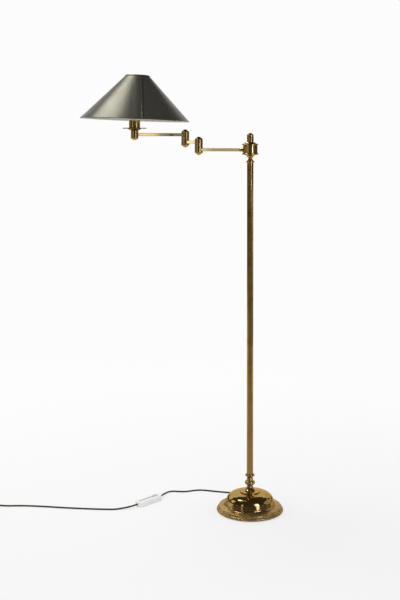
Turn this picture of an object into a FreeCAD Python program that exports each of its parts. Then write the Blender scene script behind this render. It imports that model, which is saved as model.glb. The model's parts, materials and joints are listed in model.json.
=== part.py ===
import FreeCAD, Part
import math
import os

# Swing arm floor lamp in brass with a dark cone shade, an inline dimmer and a two-pin plug.
# Millimetres. The origin is the pole's axis on the floor, +Z is up, and -Y faces the viewer.

Vector = FreeCAD.Vector
UP = Vector(0, 0, 1)
ORIGIN = Vector(0, 0, 0)

# Running and seating clearances
RUN_FIT = 0.05
SEAT_FIT = 0.05
THRUST_GAP = 0.05

# Threaded tube that clamps the base, and the hollow pins of the hub and the elbows
TUBE_R = 5.0
TUBE_BORE_R = 3.4
PASS_R = TUBE_R + RUN_FIT

# Base
FELT_R = 98.5
FELT_T = 2.0
PLATE_T = 1.2
SHELL_T = 1.0
DOME_TOP = 58.8
WEIGHT_BORE_R = 6.0
RECESS_R = 16.0
RECESS_TOP = 24.0
NUT_H = 8.0
BASE_TUBE_BOTTOM = 14.5
BASE_TUBE_TOP = 124.0

# Pole
POLE_R = 10.0
POLE_WALL = 1.0
POLE_BOTTOM = 111.7
POLE_TOP = 1087.5
PLUG_LENGTH = 12.0
BALUSTER_FOOT = 72.0
NECK_FLANGE_R = 31.4

# Swivel hub on top of the pole
COLLAR_TOP = 1101.0
HUB_FLOOR = 1116.4
HUB_R = 22.5
HUB_TOP = 1142.5
HUB_CHAMBER_R = 19.0
HUB_WEB = 4.0
HUB_FLANGE_R = 26.0
CAP_TOP = 1150.2
FINIAL_R = 10.6
FINIAL_TOP = 1179.3
SPINDLE_BOTTOM = 1074.0
SPINDLE_TOP = 1126.5

# Square arms: three levels, one above another, so that each can fold over the last
BAR = 10.0
BAR_WALL = 1.0
LEVEL_STEP = 24.0
ARM_LEVEL = 1127.0
LINK_LEVEL = ARM_LEVEL + LEVEL_STEP
OUTER_LEVEL = LINK_LEVEL + LEVEL_STEP
SEAM_1 = ARM_LEVEL + LEVEL_STEP / 2
SEAM_2 = LINK_LEVEL + LEVEL_STEP / 2
ELBOW_1 = Vector(-160.0, 102.0, 0)
ELBOW_2 = Vector(-204.0, 150.0, 0)
SOCKET = Vector(-362.0, 45.0, 0)

# Elbow: two barrels on a hollow pin
ELBOW_R = 13.0
CHAMBER_R = 9.5
WEB_T = 4.0
BARREL_H = 20.5
CAP_H = 9.0
PIN_FLANGE_R = 6.8
PIN_NUT_H = 3.8
WASHER_T = 0.5
BAR_SEAT = 10.5

# Lampholder column
COLUMN_R = 12.0
COLUMN_CHAMBER_R = 9.0
COLUMN_BOTTOM = 1163.5
COLUMN_TOP = 1187.7
COLUMN_SEAT = 9.4
DISH_R = 38.0
CUP_R = 17.75
CUP_TOP = 1219.5
SPUN_T = 0.8
HOLDER_THREAD_R = 19.75
HOLDER_TOP = 1252.0
BULB_R = 30.0
BULB_MIDDLE = 1296.5

# Shade: a plain cone on a wire carrier, sitting askew and a little off centre on its rings
SHADE_LEAN = 2.1
SHADE_SHIFT = 1.5
SHADE_RIM_Z = 1221.0
SHADE_RIM_R = 171.6
SHADE_TOP_R = 36.0
SHADE_H = 140.0
SHADE_T = 0.8
SHADE_TOP_OFF_CENTRE = 3.4
CARRIER_Z = 1240.0
CARRIER_T = 1.2
CARRIER_R = 29.0
SCREW_RING_R = 27.0
CARRIER_BORE_R = 21.4
WIRE_R = 1.5
SPOKE_AZIMUTHS = (90.0, 210.0, 330.0)

# Mains cord
CORD_R = 2.5
LEAD_R = 2.25
LEAD_BEND = 6.0
EXIT_AZIMUTH = 110.5
EXIT_Z = 7.5
GLAND_NECK_R = 4.0
GLAND_BACK = 95.5
GLAND_TIP = 128.0

# Inline dimmer
SWITCH_CENTRE = Vector(-320.5, 64.0, 0)
SWITCH_YAW = 46.8
SWITCH_L = 98.0
SWITCH_W = 32.0
SWITCH_H = 16.0
SWITCH_CORNER_R = 12.0
SPLIT_Z = 6.0
TRACK_L = 82.0
TRACK_W = 9.0
TRACK_DEPTH = 2.0
SLIDER_L = 13.0
SLIDER_H = 4.6
SLIDER_REST = 29.0

# Coil of put-away cord and its plug
COIL_CENTRE = Vector(-827.0, 0.5, 0)
COIL_TURNS = 6.25
COIL_START_DEG = 90.0
COIL_IN_R = 20.4
COIL_PITCH = 5.6
COIL_FLOOR_Z = 3.1
TIE_AZIMUTH = -45.0
TIE_W = 6.0
TIE_T = 0.5
PLUG_ENTRY = Vector(-867.5, -50.0, 7.0)
PLUG_W = 34.0
PLUG_L = 38.0
PLUG_T = 14.0
PLUG_PIN_R = 2.0
PLUG_PIN_L = 19.0
PLUG_PIN_PITCH = 18.6

# Routes on the floor, centre of the cord. The first ends at the dimmer, the second at the coil.
NEAR_ROUTE = [
    (-44.8, 119.9, 7.5),
    (-50.1, 134.0, 7.5),
    (-61.8, 146.2, 4.4),
    (-76.7, 154.3, 2.6),
    (-107.8, 162.4, 2.5),
    (-151.6, 176.7, 2.5),
    (-177.9, 170.4, 2.5),
    (-200.6, 159.8, 2.5),
    (-226.8, 160.0, 2.5),
    (-249.2, 164.8, 2.5),
    (-265.4, 157.8, 2.5),
    (-274.5, 142.5, 2.9),
    (-273.0, 121.8, 5.4),
    (-278.76, 108.46, 8.0),
    (-286.96, 99.72, 8.0),
]
FAR_ROUTE = [
    (-354.04, 28.28, 8.0),
    (-366.7, 14.8, 8.0),
    (-387.5, 9.5, 4.6),
    (-419.6, -0.4, 2.5),
    (-445.7, -0.4, 2.5),
    (-495.3, 2.7, 2.5),
    (-588.3, 14.2, 2.5),
    (-640.0, 23.8, 2.5),
    (-719.1, 32.7, 2.5),
    (-772.6, 28.7, 2.6),
    (-802.4, 38.29, 3.1),
    (-822.0, 37.82, 3.1),
]


def outline_face(start, steps):
    """Closed face in the XZ plane. A step is a point, or a pair of points for an arc."""
    edges = []
    here = Vector(start[0], 0, start[1])
    for step in list(steps) + [start]:
        if isinstance(step[0], tuple):
            middle = Vector(step[0][0], 0, step[0][1])
            end = Vector(step[1][0], 0, step[1][1])
            edges.append(Part.Arc(here, middle, end).toShape())
        else:
            end = Vector(step[0], 0, step[1])
            edges.append(Part.LineSegment(here, end).toShape())
        here = end
    return Part.Face(Part.Wire(edges))


def turned(start, *steps):
    """Solid of revolution about Z, from its half outline as (radius, height) points."""
    solid = outline_face(start, steps).revolve(ORIGIN, UP, 360)
    if solid.Volume < 0:
        solid.reverse()
    return solid


def disc(radius, bottom, top):
    return Part.makeCylinder(radius, top - bottom, Vector(0, 0, bottom))


def ring(outer, inner, bottom, top):
    return turned((inner, bottom), (outer, bottom), (outer, top), (inner, top))


def placed(shape, at, yaw=0.0):
    """The shape turned about Z by yaw degrees and then moved to the point at."""
    copy = shape.copy()
    copy.Placement = FreeCAD.Placement(at, FreeCAD.Rotation(UP, yaw)).multiply(copy.Placement)
    return copy


def mirrored(shape):
    return shape.mirror(ORIGIN, UP)


def lying(shape, height, yaw):
    """A solid turned about Z laid down so that its +Z points along yaw at the given height."""
    copy = shape.copy()
    tip = FreeCAD.Rotation(Vector(0, 1, 0), 90)
    copy.Placement = FreeCAD.Placement(ORIGIN, tip).multiply(copy.Placement)
    return placed(copy, Vector(0, 0, height), yaw)


def hex_nut(across_flats, bottom, top, bore):
    corner = across_flats / math.sqrt(3)
    points = []
    for index in range(7):
        angle = math.radians(60 * index)
        points.append(Vector(corner * math.cos(angle), corner * math.sin(angle), bottom))
    prism = Part.Face(Part.makePolygon(points)).extrude(Vector(0, 0, top - bottom))
    return prism.cut(disc(bore, bottom - 1, top + 1))


def yaw_between(first, second):
    return math.degrees(math.atan2(second.y - first.y, second.x - first.x))


def route_edges(points, largest_bend=None):
    """Straight runs joined by tangent arcs. Returns the edges and the arcs' radii."""
    corners = [Vector(*point) for point in points]
    edges = []
    radii = []
    here = corners[0]
    for index in range(1, len(corners) - 1):
        back = corners[index - 1] - corners[index]
        ahead = corners[index + 1] - corners[index]
        half_turn = (math.pi - back.getAngle(ahead)) / 2
        reach = 0.45 * min(back.Length, ahead.Length)
        radius = reach / math.tan(half_turn)
        if largest_bend and radius > largest_bend:
            radius = largest_bend
            reach = radius * math.tan(half_turn)
        back.normalize()
        ahead.normalize()
        inward = back + ahead
        inward.normalize()
        start = corners[index] + back * reach
        end = corners[index] + ahead * reach
        middle = corners[index] + inward * (radius / math.cos(half_turn) - radius)
        edges.append(Part.LineSegment(here, start).toShape())
        edges.append(Part.Arc(start, middle, end).toShape())
        radii.append(radius)
        here = end
    edges.append(Part.LineSegment(here, corners[-1]).toShape())
    return edges, radii


def swept(edges, radius):
    """Round tube along a list of edges that join in line."""
    path = Part.Wire(edges)
    first = edges[0]
    start = first.valueAt(first.FirstParameter)
    heading = first.tangentAt(first.FirstParameter)
    profile = Part.Wire(Part.makeCircle(radius, start, heading))
    return path.makePipeShell([profile], True, False)


def report_tube(name, solid, edges, radius, radii=None):
    length = sum(edge.Length for edge in edges)
    ratio = solid.Volume / (math.pi * radius ** 2 * length)
    line = "%s: length %.1f mm, volume over section times length %.4f" % (name, length, ratio)
    if radii:
        line += ", radii " + " ".join("%.1f" % value for value in radii)
    print(line)


def routed_tube(name, points, radius, largest_bend=None):
    edges, radii = route_edges(points, largest_bend)
    solid = swept(edges, radius)
    report_tube(name, solid, edges, radius, radii)
    return solid


def exit_point(distance, height):
    angle = math.radians(EXIT_AZIMUTH)
    return Vector(distance * math.cos(angle), distance * math.sin(angle), height)


def shell_solid(inset):
    """The dome and its rolled rim as one solid, drawn inward by the given inset."""
    rim = 1.2
    return turned(
        (0, rim),
        (100.8 - inset, rim),
        ((103.5 - inset, 4.9), (100.9 - inset, 8.4)),
        (99.3 - inset, 9.3),
        (99.2 - inset, 10.3),
        ((98.3 - inset, 14.3 - inset * 0.5), (94.6 - inset, 16.4 - inset)),
        (84.5 - inset * 0.6, 18.0 - inset),
        ((79.2 - inset, 20.8 - inset * 0.4), (76.6 - inset, 26.0)),
        (74.0 - inset, 34.2),
        ((67.2 - inset * 0.8, 46.6 - inset * 0.6), (56.0 - inset * 0.3, 53.7 - inset)),
        ((44.0, 57.4 - inset), (31.5, DOME_TOP - inset)),
        (0, DOME_TOP - inset),
    )


def make_base():
    gland_hole = lying(disc(GLAND_NECK_R + 0.1, 60, 120), EXIT_Z, EXIT_AZIMUTH)
    inner = shell_solid(SHELL_T).fuse(disc(100.3 - SHELL_T, 0, 3.0))
    shell = shell_solid(0).cut(inner)
    shell = shell.cut(disc(PASS_R + 0.2, 40, 80))
    shell = shell.cut(gland_hole)

    plate_top = FELT_T + PLATE_T
    weight = turned(
        (WEIGHT_BORE_R, RECESS_TOP),
        (RECESS_R, RECESS_TOP),
        (RECESS_R, plate_top),
        (92.0, plate_top),
        (92.0, 9.0),
        (80.0, 14.5),
        (73.0, 24.0),
        (71.0, 33.0),
        ((64.5, 44.5), (54.0, 51.2)),
        (32.0, 54.5),
        (30.0, DOME_TOP - SHELL_T),
        (WEIGHT_BORE_R, DOME_TOP - SHELL_T),
    )
    lead_slot = Part.makeBox(100, 9.0, 14.0 - plate_top, Vector(0, -4.5, plate_top))
    weight = weight.cut(placed(lead_slot, ORIGIN, EXIT_AZIMUTH))

    nut = hex_nut(17.0, RECESS_TOP - NUT_H, RECESS_TOP - 1.5, PASS_R)
    nut = nut.fuse(ring(13.0, PASS_R, RECESS_TOP - 1.5, RECESS_TOP))
    gland = turned(
        (0, GLAND_BACK),
        (4.6, GLAND_BACK),
        (4.6, GLAND_BACK + 1.6),
        (GLAND_NECK_R, GLAND_BACK + 2.6),
        (GLAND_NECK_R, 104.2),
        (6.0, 104.2),
        (6.0, 105.6),
        ((5.4, 106.8), (4.7, 107.2)),
        (3.1, GLAND_TIP),
        (0, GLAND_TIP),
    )
    return {
        "felt_pad": disc(FELT_R, 0, FELT_T),
        "base_plate": ring(94.0, 15.0, FELT_T, plate_top),
        "base_weight": weight,
        "base_shell": shell,
        "base_nut": nut.removeSplitter(),
        "base_tube": ring(TUBE_R, TUBE_BORE_R, BASE_TUBE_BOTTOM, BASE_TUBE_TOP),
        "cord_gland": lying(gland, EXIT_Z, EXIT_AZIMUTH),
    }


def make_pole():
    neck_flange = turned(
        (PASS_R, DOME_TOP),
        (NECK_FLANGE_R, DOME_TOP),
        (NECK_FLANGE_R, DOME_TOP + 2.2),
        ((NECK_FLANGE_R - 0.4, DOME_TOP + 3.0), (NECK_FLANGE_R - 1.3, DOME_TOP + 3.3)),
        (27.6, DOME_TOP + 3.7),
        ((18.6, 65.2), (11.8, BALUSTER_FOOT - 1.2)),
        (9.6, BALUSTER_FOOT),
        (PASS_R, BALUSTER_FOOT),
    )
    baluster = turned(
        (PASS_R, BALUSTER_FOOT),
        (9.6, BALUSTER_FOOT),
        ((10.7, 73.8), (9.6, 75.6)),
        ((8.9, 77.9), (9.6, 80.0)),
        ((10.6, 81.5), (12.4, 82.4)),
        ((16.2, 88.0), (12.4, 93.6)),
        ((10.3, 94.8), (9.3, 96.6)),
        ((9.9, 98.9), (9.3, 101.0)),
        ((8.7, 102.7), (9.2, 104.4)),
        ((10.6, 106.9), (12.6, 108.2)),
        ((14.9, 111.4), (12.6, 114.6)),
        (POLE_R + SEAT_FIT, 114.6),
        (POLE_R + SEAT_FIT, POLE_BOTTOM),
        (PASS_R, POLE_BOTTOM),
    )
    lower_plug = ring(POLE_R - POLE_WALL - SEAT_FIT, PASS_R, POLE_BOTTOM, POLE_BOTTOM + PLUG_LENGTH)
    upper_plug = ring(POLE_R - POLE_WALL - SEAT_FIT, PASS_R, POLE_TOP - PLUG_LENGTH, POLE_TOP)
    top_collar = turned(
        (PASS_R, POLE_TOP),
        (POLE_R + SEAT_FIT, POLE_TOP),
        (POLE_R + SEAT_FIT, POLE_TOP - 2.0),
        (10.9, POLE_TOP - 2.0),
        ((11.4, POLE_TOP - 0.3), (12.9, POLE_TOP + 1.0)),
        (12.9, POLE_TOP + 3.4),
        ((9.4, POLE_TOP + 7.0), (6.3, POLE_TOP + 11.6)),
        (6.3, COLLAR_TOP),
        (PASS_R, COLLAR_TOP),
    )
    return {
        "neck_flange": neck_flange,
        "neck_baluster": baluster,
        "pole_tube": ring(POLE_R, POLE_R - POLE_WALL, POLE_BOTTOM, POLE_TOP),
        "pole_plugs": Part.makeCompound([lower_plug, upper_plug]),
        "pole_top_collar": top_collar,
    }


def make_hub():
    """The fixed flange, spindle and nut, and the sleeve, cap and finial that turn on them."""
    arm_yaw = yaw_between(ORIGIN, ELBOW_1)
    lower_flange = turned(
        (PASS_R, COLLAR_TOP),
        (6.5, COLLAR_TOP),
        (8.0, 1102.8),
        ((9.7, 1104.5), (10.9, 1106.4)),
        ((13.2, 1109.0), (17.0, 1110.2)),
        (24.6, 1112.2),
        ((25.9, 1113.2), (HUB_FLANGE_R, 1114.4)),
        (HUB_FLANGE_R, 1115.6),
        (25.2, HUB_FLOOR),
        (PASS_R, HUB_FLOOR),
    )
    sleeve_bottom = HUB_FLOOR + THRUST_GAP
    web_top = sleeve_bottom + HUB_WEB
    sleeve = turned(
        (PASS_R, sleeve_bottom),
        (HUB_R - 0.6, sleeve_bottom),
        (HUB_R, sleeve_bottom + 0.6),
        (HUB_R, HUB_TOP - 0.6),
        (HUB_R - 0.6, HUB_TOP),
        (HUB_CHAMBER_R, HUB_TOP),
        (HUB_CHAMBER_R, web_top),
        (PASS_R, web_top),
    )
    arm_root = turned(
        (2.8, 22.0),
        (4.6, 18.2),
        (8.0, 18.2),
        (8.0, 26.0),
        (7.4, 27.0),
        (5.9, 27.0),
        (5.9, 36.5),
        (2.8, 36.5),
    )
    spigot = Part.makeBox(7.9, 7.9, 9.5, Vector(-3.95, -3.95, 36.5)).cut(disc(2.8, 30, 50))
    arm_root = lying(arm_root.fuse(spigot).removeSplitter(), ARM_LEVEL, arm_yaw)
    root_hole = lying(disc(8.0, 15, 30), ARM_LEVEL, arm_yaw)
    chamber = disc(HUB_CHAMBER_R, web_top, HUB_TOP)
    sleeve = sleeve.cut(root_hole)
    arm_root = arm_root.cut(chamber)
    spindle = ring(TUBE_R, TUBE_BORE_R, SPINDLE_BOTTOM, SPINDLE_TOP)
    cap = turned(
        (4.05, HUB_TOP - 4.0),
        (HUB_CHAMBER_R - SEAT_FIT, HUB_TOP - 4.0),
        (HUB_CHAMBER_R - SEAT_FIT, HUB_TOP),
        (25.2, HUB_TOP),
        (HUB_FLANGE_R, HUB_TOP + 0.8),
        (HUB_FLANGE_R, HUB_TOP + 2.2),
        ((25.0, HUB_TOP + 3.3), (23.0, HUB_TOP + 3.6)),
        ((18.6, HUB_TOP + 4.6), (16.4, CAP_TOP - 0.8)),
        (15.6, CAP_TOP),
        (4.05, CAP_TOP),
    )
    finial = turned(
        (0, HUB_TOP - 2.0),
        (4.0, HUB_TOP - 2.0),
        (4.0, CAP_TOP),
        (9.4, CAP_TOP),
        (FINIAL_R, CAP_TOP + 1.4),
        (FINIAL_R, 1172.2),
        ((10.2, 1173.6), (9.2, 1174.8)),
        (5.4, 1178.1),
        ((3.8, 1179.0), (2.0, FINIAL_TOP)),
        (0, FINIAL_TOP),
    )
    nut_bottom = web_top + THRUST_GAP
    return {
        "hub_lower_flange": lower_flange,
        "hub_spindle": spindle,
        "hub_nut": hex_nut(15.0, nut_bottom, nut_bottom + 4.0, PASS_R),
        "hub_sleeve": sleeve,
        "inner_arm_root": arm_root,
        "hub_cap": cap,
        "hub_finial": finial,
    }


def elbow_barrel():
    """Barrel above a seam at z = 0, open at its far end."""
    floor = WASHER_T / 2 + THRUST_GAP
    return turned(
        (PASS_R, floor),
        (ELBOW_R - 0.5, floor),
        (ELBOW_R, floor + 0.5),
        (ELBOW_R, BARREL_H),
        (CHAMBER_R, BARREL_H),
        (CHAMBER_R, floor + WEB_T),
        (PASS_R, floor + WEB_T),
    )


def elbow_cap(radius, chamber):
    """Rounded cone that closes a barrel whose open end is at z = 0."""
    return turned(
        (0, -3.0),
        (chamber - SEAT_FIT, -3.0),
        (chamber - SEAT_FIT, 0),
        (radius, 0),
        (radius, 0.6),
        ((radius - 0.5, 1.6), (radius - 1.3, 2.5)),
        (radius - 7.2, CAP_H - 1.8),
        ((radius - 9.2, CAP_H - 0.5), (radius - 11.4, CAP_H)),
        (0, CAP_H),
    )


def bar_pocket(yaw, height, seat):
    """Square hole in a barrel's wall, with a smaller one behind it for the lead."""
    outer = Part.makeBox(20, BAR, BAR, Vector(seat, -BAR / 2, height - BAR / 2))
    clear = BAR - 2 * BAR_WALL
    inner = Part.makeBox(seat, clear, clear, Vector(0, -clear / 2, height - clear / 2))
    return placed(outer.fuse(inner), ORIGIN, yaw)


def square_bar(first, second, height, first_end, second_end):
    """Hollow square bar between two axes, cut back from each of them."""
    yaw = yaw_between(first, second)
    length = first.distanceToPoint(second) - first_end - second_end
    solid = Part.makeBox(length, BAR, BAR, Vector(first_end, -BAR / 2, -BAR / 2))
    long_edges = [edge for edge in solid.Edges if abs(edge.tangentAt(0).x) > 0.9]
    solid = solid.makeFillet(0.8, long_edges)
    clear = BAR - 2 * BAR_WALL
    bore = Part.makeBox(length + 2, clear, clear, Vector(first_end - 1, -clear / 2, -clear / 2))
    return placed(solid.cut(bore), Vector(first.x, first.y, height), yaw)


def make_elbow(name, axis, seam, lower_yaw, upper_yaw):
    """Two barrels, the hollow pin that joins them, its nut and the washer at the seam."""
    at = Vector(axis.x, axis.y, seam)
    offset = LEVEL_STEP / 2
    upper = elbow_barrel().cut(bar_pocket(upper_yaw, offset, BAR_SEAT))
    lower = mirrored(elbow_barrel()).cut(bar_pocket(lower_yaw, -offset, BAR_SEAT))
    web_far = WASHER_T / 2 + THRUST_GAP + WEB_T
    pin = turned(
        (TUBE_BORE_R, -web_far - 1.3),
        (PIN_FLANGE_R, -web_far - 1.3),
        (PIN_FLANGE_R, -web_far),
        (TUBE_R, -web_far),
        (TUBE_R, web_far + THRUST_GAP + PIN_NUT_H),
        (TUBE_BORE_R, web_far + THRUST_GAP + PIN_NUT_H),
    )
    nut_bottom = web_far + THRUST_GAP
    return {
        name + "_lower_barrel": placed(lower, at),
        name + "_pin": placed(pin, at),
        name + "_nut": placed(hex_nut(13.0, nut_bottom, nut_bottom + PIN_NUT_H, PASS_R), at),
        name + "_washer": placed(ring(12.3, PASS_R + 0.1, -WASHER_T / 2, WASHER_T / 2), at),
        name + "_upper_barrel": placed(upper, at),
    }


def cap_above(axis, seam):
    return placed(elbow_cap(ELBOW_R, CHAMBER_R), Vector(axis.x, axis.y, seam + BARREL_H))


def cap_below(axis, seam):
    return placed(mirrored(elbow_cap(ELBOW_R, CHAMBER_R)), Vector(axis.x, axis.y, seam - BARREL_H))


def column_cap():
    """Shallower cap that closes the lampholder column from below."""
    cap = turned(
        (0, 3.0),
        (COLUMN_CHAMBER_R - SEAT_FIT, 3.0),
        (COLUMN_CHAMBER_R - SEAT_FIT, 0),
        (COLUMN_R, 0),
        (11.4, -1.4),
        (5.8, -5.2),
        ((4.9, -5.8), (3.8, -6.0)),
        (0, -6.0),
    )
    return placed(cap, Vector(SOCKET.x, SOCKET.y, COLUMN_BOTTOM))


def make_arms():
    arm_yaw = yaw_between(ORIGIN, ELBOW_1)
    link_yaw = yaw_between(ELBOW_1, ELBOW_2)
    outer_yaw = yaw_between(ELBOW_2, SOCKET)
    parts = {}
    parts.update(make_elbow("elbow_1", ELBOW_1, SEAM_1, arm_yaw + 180, link_yaw))
    parts.update(make_elbow("elbow_2", ELBOW_2, SEAM_2, link_yaw + 180, outer_yaw))
    parts["elbow_1_lower_cap"] = cap_below(ELBOW_1, SEAM_1)
    parts["link_caps"] = Part.makeCompound([cap_above(ELBOW_1, SEAM_1), cap_below(ELBOW_2, SEAM_2)])
    parts["outer_arm_caps"] = Part.makeCompound([cap_above(ELBOW_2, SEAM_2), column_cap()])
    parts["inner_arm"] = square_bar(ORIGIN, ELBOW_1, ARM_LEVEL, 36.5, BAR_SEAT)
    parts["link_bar"] = square_bar(ELBOW_1, ELBOW_2, LINK_LEVEL, BAR_SEAT, BAR_SEAT)
    parts["outer_arm"] = square_bar(ELBOW_2, SOCKET, OUTER_LEVEL, BAR_SEAT, COLUMN_SEAT)
    return parts


def make_lampholder():
    socket = Vector(SOCKET.x, SOCKET.y, 0)
    arm_side = yaw_between(SOCKET, ELBOW_2)
    column = turned(
        (PASS_R, COLUMN_TOP - 4.0),
        (COLUMN_CHAMBER_R, COLUMN_TOP - 4.0),
        (COLUMN_CHAMBER_R, COLUMN_BOTTOM),
        (COLUMN_R, COLUMN_BOTTOM),
        (COLUMN_R, COLUMN_TOP - 0.8),
        (COLUMN_R - 0.8, COLUMN_TOP),
        (PASS_R, COLUMN_TOP),
    )
    column = column.cut(bar_pocket(arm_side, OUTER_LEVEL, COLUMN_SEAT))
    dish = turned(
        (PASS_R, COLUMN_TOP),
        (11.2, COLUMN_TOP),
        ((17.6, 1190.4), (22.2, 1193.4)),
        (DISH_R - 0.4, 1193.9),
        (DISH_R, 1194.3),
        (DISH_R - 0.4, 1194.7),
        (21.8, 1194.2),
        ((17.0, 1191.2), (10.9, COLUMN_TOP + SPUN_T)),
        (PASS_R, COLUMN_TOP + SPUN_T),
    )
    cup_floor = COLUMN_TOP + SPUN_T
    cup = turned(
        (PASS_R, cup_floor),
        (10.6, cup_floor),
        ((15.6, 1191.8), (CUP_R, 1196.8)),
        (CUP_R, CUP_TOP),
        (CUP_R - SPUN_T, CUP_TOP),
        (CUP_R - SPUN_T, 1197.0),
        ((15.0, 1192.6), (10.3, cup_floor + SPUN_T)),
        (PASS_R, cup_floor + SPUN_T),
    )
    holder_floor = cup_floor + SPUN_T
    holder = turned(
        (PASS_R, holder_floor),
        (9.8, holder_floor),
        (14.6, 1193.6),
        (15.6, 1197.0),
        (15.6, 1222.0),
        (HOLDER_THREAD_R, 1225.0),
        (HOLDER_THREAD_R, HOLDER_TOP - 1.2),
        (HOLDER_THREAD_R - 1.2, HOLDER_TOP),
        (14.1, HOLDER_TOP),
        (14.1, 1216.0),
        (3.0, 1216.0),
        (3.0, 1200.0),
        (PASS_R, 1200.0),
    )
    thread_shell = ring(14.0, 13.5, 1218.0, 1249.5)
    bulb_top = BULB_MIDDLE + math.sqrt(BULB_R ** 2 - 2.0 ** 2)
    contact = disc(4.0, 1216.0, 1218.4)
    cap_of_bulb = turned(
        (0, 1218.5),
        (4.2, 1218.5),
        (5.0, 1220.2),
        (11.6, 1223.0),
        (13.1, 1224.5),
        (13.1, 1244.0),
        (12.6, 1246.0),
        (0, 1246.0),
    )
    glass = turned(
        (0, 1246.0),
        (12.8, 1246.0),
        (13.4, 1252.0),
        (13.4, 1262.7),
        ((13.92, 1265.62), (15.4, 1268.2)),
        (22.98, 1277.22),
        ((BULB_R, BULB_MIDDLE), (BULB_R * math.sin(0.9), BULB_MIDDLE + BULB_R * math.cos(0.9))),
        ((BULB_R * math.sin(0.5), BULB_MIDDLE + BULB_R * math.cos(0.5)), (2.0, bulb_top)),
        (0, bulb_top),
    )
    parts = {
        "end_column": column,
        "holder_tube": ring(TUBE_R, TUBE_BORE_R, COLUMN_TOP - 5.0, 1199.5),
        "drip_dish": dish,
        "candle_cup": cup,
        "lampholder": holder,
        "lampholder_contacts": Part.makeCompound([thread_shell, contact]),
        "bulb_cap": cap_of_bulb,
        "bulb_glass": glass,
    }
    return {name: placed(shape, socket) for name, shape in parts.items()}


def make_shade():
    """Everything here is drawn about the carrier ring's centre, then leaned and moved."""
    rim_z = SHADE_RIM_Z - CARRIER_Z
    top_z = rim_z + SHADE_H
    slope = math.hypot(SHADE_RIM_R - SHADE_TOP_R, SHADE_H)
    wall = SHADE_T * slope / SHADE_H
    top_centre = Vector(SHADE_TOP_OFF_CENTRE, 0, top_z)
    cones = []
    for shrink in (0, wall):
        rim = Part.makeCircle(SHADE_RIM_R - shrink, Vector(0, 0, rim_z))
        top = Part.makeCircle(SHADE_TOP_R - shrink, top_centre)
        cones.append(Part.makeLoft([Part.Wire(rim), Part.Wire(top)], True, True))
    cone = cones[0].cut(cones[1])
    cone_inset = wall + WIRE_R * slope / SHADE_H + 0.05
    rise = 1.6
    lower_r = SHADE_RIM_R - rise * (SHADE_RIM_R - SHADE_TOP_R) / SHADE_H - cone_inset
    upper_r = SHADE_TOP_R + rise * (SHADE_RIM_R - SHADE_TOP_R) / SHADE_H - cone_inset
    lower_wire = Part.makeTorus(lower_r, WIRE_R, Vector(0, 0, rim_z + rise))
    upper_x = SHADE_TOP_OFF_CENTRE * (1 - rise / SHADE_H)
    upper_wire = Part.makeTorus(upper_r, WIRE_R, Vector(upper_x, 0, top_z - rise))

    carrier = ring(CARRIER_R, CARRIER_BORE_R, -CARRIER_T / 2, CARRIER_T / 2)
    for azimuth in SPOKE_AZIMUTHS:
        start = Vector(CARRIER_R - 0.6, 0, 0)
        end = Vector(lower_r - WIRE_R - 0.02, 0, rim_z + rise)
        spoke = Part.makeCylinder(WIRE_R, start.distanceToPoint(end), start, end - start)
        carrier = carrier.fuse(placed(spoke, ORIGIN, azimuth))

    lean = FreeCAD.Rotation(Vector(0, 1, 0), SHADE_LEAN)
    seat = FreeCAD.Placement(Vector(SOCKET.x + SHADE_SHIFT, SOCKET.y, CARRIER_Z), lean)
    parts = {
        "shade_cone": cone,
        "shade_wires": Part.makeCompound([lower_wire, upper_wire]),
        "shade_carrier": carrier.removeSplitter(),
    }
    for shape in parts.values():
        shape.Placement = seat.multiply(shape.Placement)

    # The askew ring touches the upper screwed ring at one edge and nearly the lower one at the other
    tilt_reach = SCREW_RING_R + SHADE_SHIFT
    spread = CARRIER_T / 2 + tilt_reach * math.sin(math.radians(SHADE_LEAN)) + 0.03
    rings = []
    for bottom, top in ((-spread - 4.0, -spread), (spread, spread + 4.0)):
        rings.append(ring(SCREW_RING_R, HOLDER_THREAD_R + SEAT_FIT, bottom, top))
    parts["shade_rings"] = placed(Part.makeCompound(rings), Vector(SOCKET.x, SOCKET.y, CARRIER_Z))
    return parts


def make_leads():
    """Two-core lead through the pole, the arms and the hollow pins, cut at each pivot."""
    inside_gland = exit_point(GLAND_BACK, EXIT_Z)
    hub_seam = HUB_FLOOR + THRUST_GAP / 2
    pole_route = [tuple(inside_gland), (0, 0, EXIT_Z), (0, 0, hub_seam)]

    arm = ELBOW_1 - ORIGIN
    reach = arm.Length
    arm.normalize()
    profile = [(0, hub_seam), (0, 1133.6), (10.0, 1131.6), (16.8, ARM_LEVEL), (reach, ARM_LEVEL)]
    arm_route = [(arm.x * along, arm.y * along, height) for along, height in profile]
    arm_route.append((ELBOW_1.x, ELBOW_1.y, SEAM_1))
    link_route = [
        (ELBOW_1.x, ELBOW_1.y, SEAM_1),
        (ELBOW_1.x, ELBOW_1.y, LINK_LEVEL),
        (ELBOW_2.x, ELBOW_2.y, LINK_LEVEL),
        (ELBOW_2.x, ELBOW_2.y, SEAM_2),
    ]
    outer_route = [
        (ELBOW_2.x, ELBOW_2.y, SEAM_2),
        (ELBOW_2.x, ELBOW_2.y, OUTER_LEVEL),
        (SOCKET.x, SOCKET.y, OUTER_LEVEL),
        (SOCKET.x, SOCKET.y, 1216.0),
    ]
    return {
        "pole_lead": routed_tube("pole_lead", pole_route, LEAD_R, LEAD_BEND),
        "inner_arm_lead": routed_tube("inner_arm_lead", arm_route, LEAD_R, LEAD_BEND),
        "link_lead": routed_tube("link_lead", link_route, LEAD_R, LEAD_BEND),
        "outer_arm_lead": routed_tube("outer_arm_lead", outer_route, LEAD_R, LEAD_BEND),
    }


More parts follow.
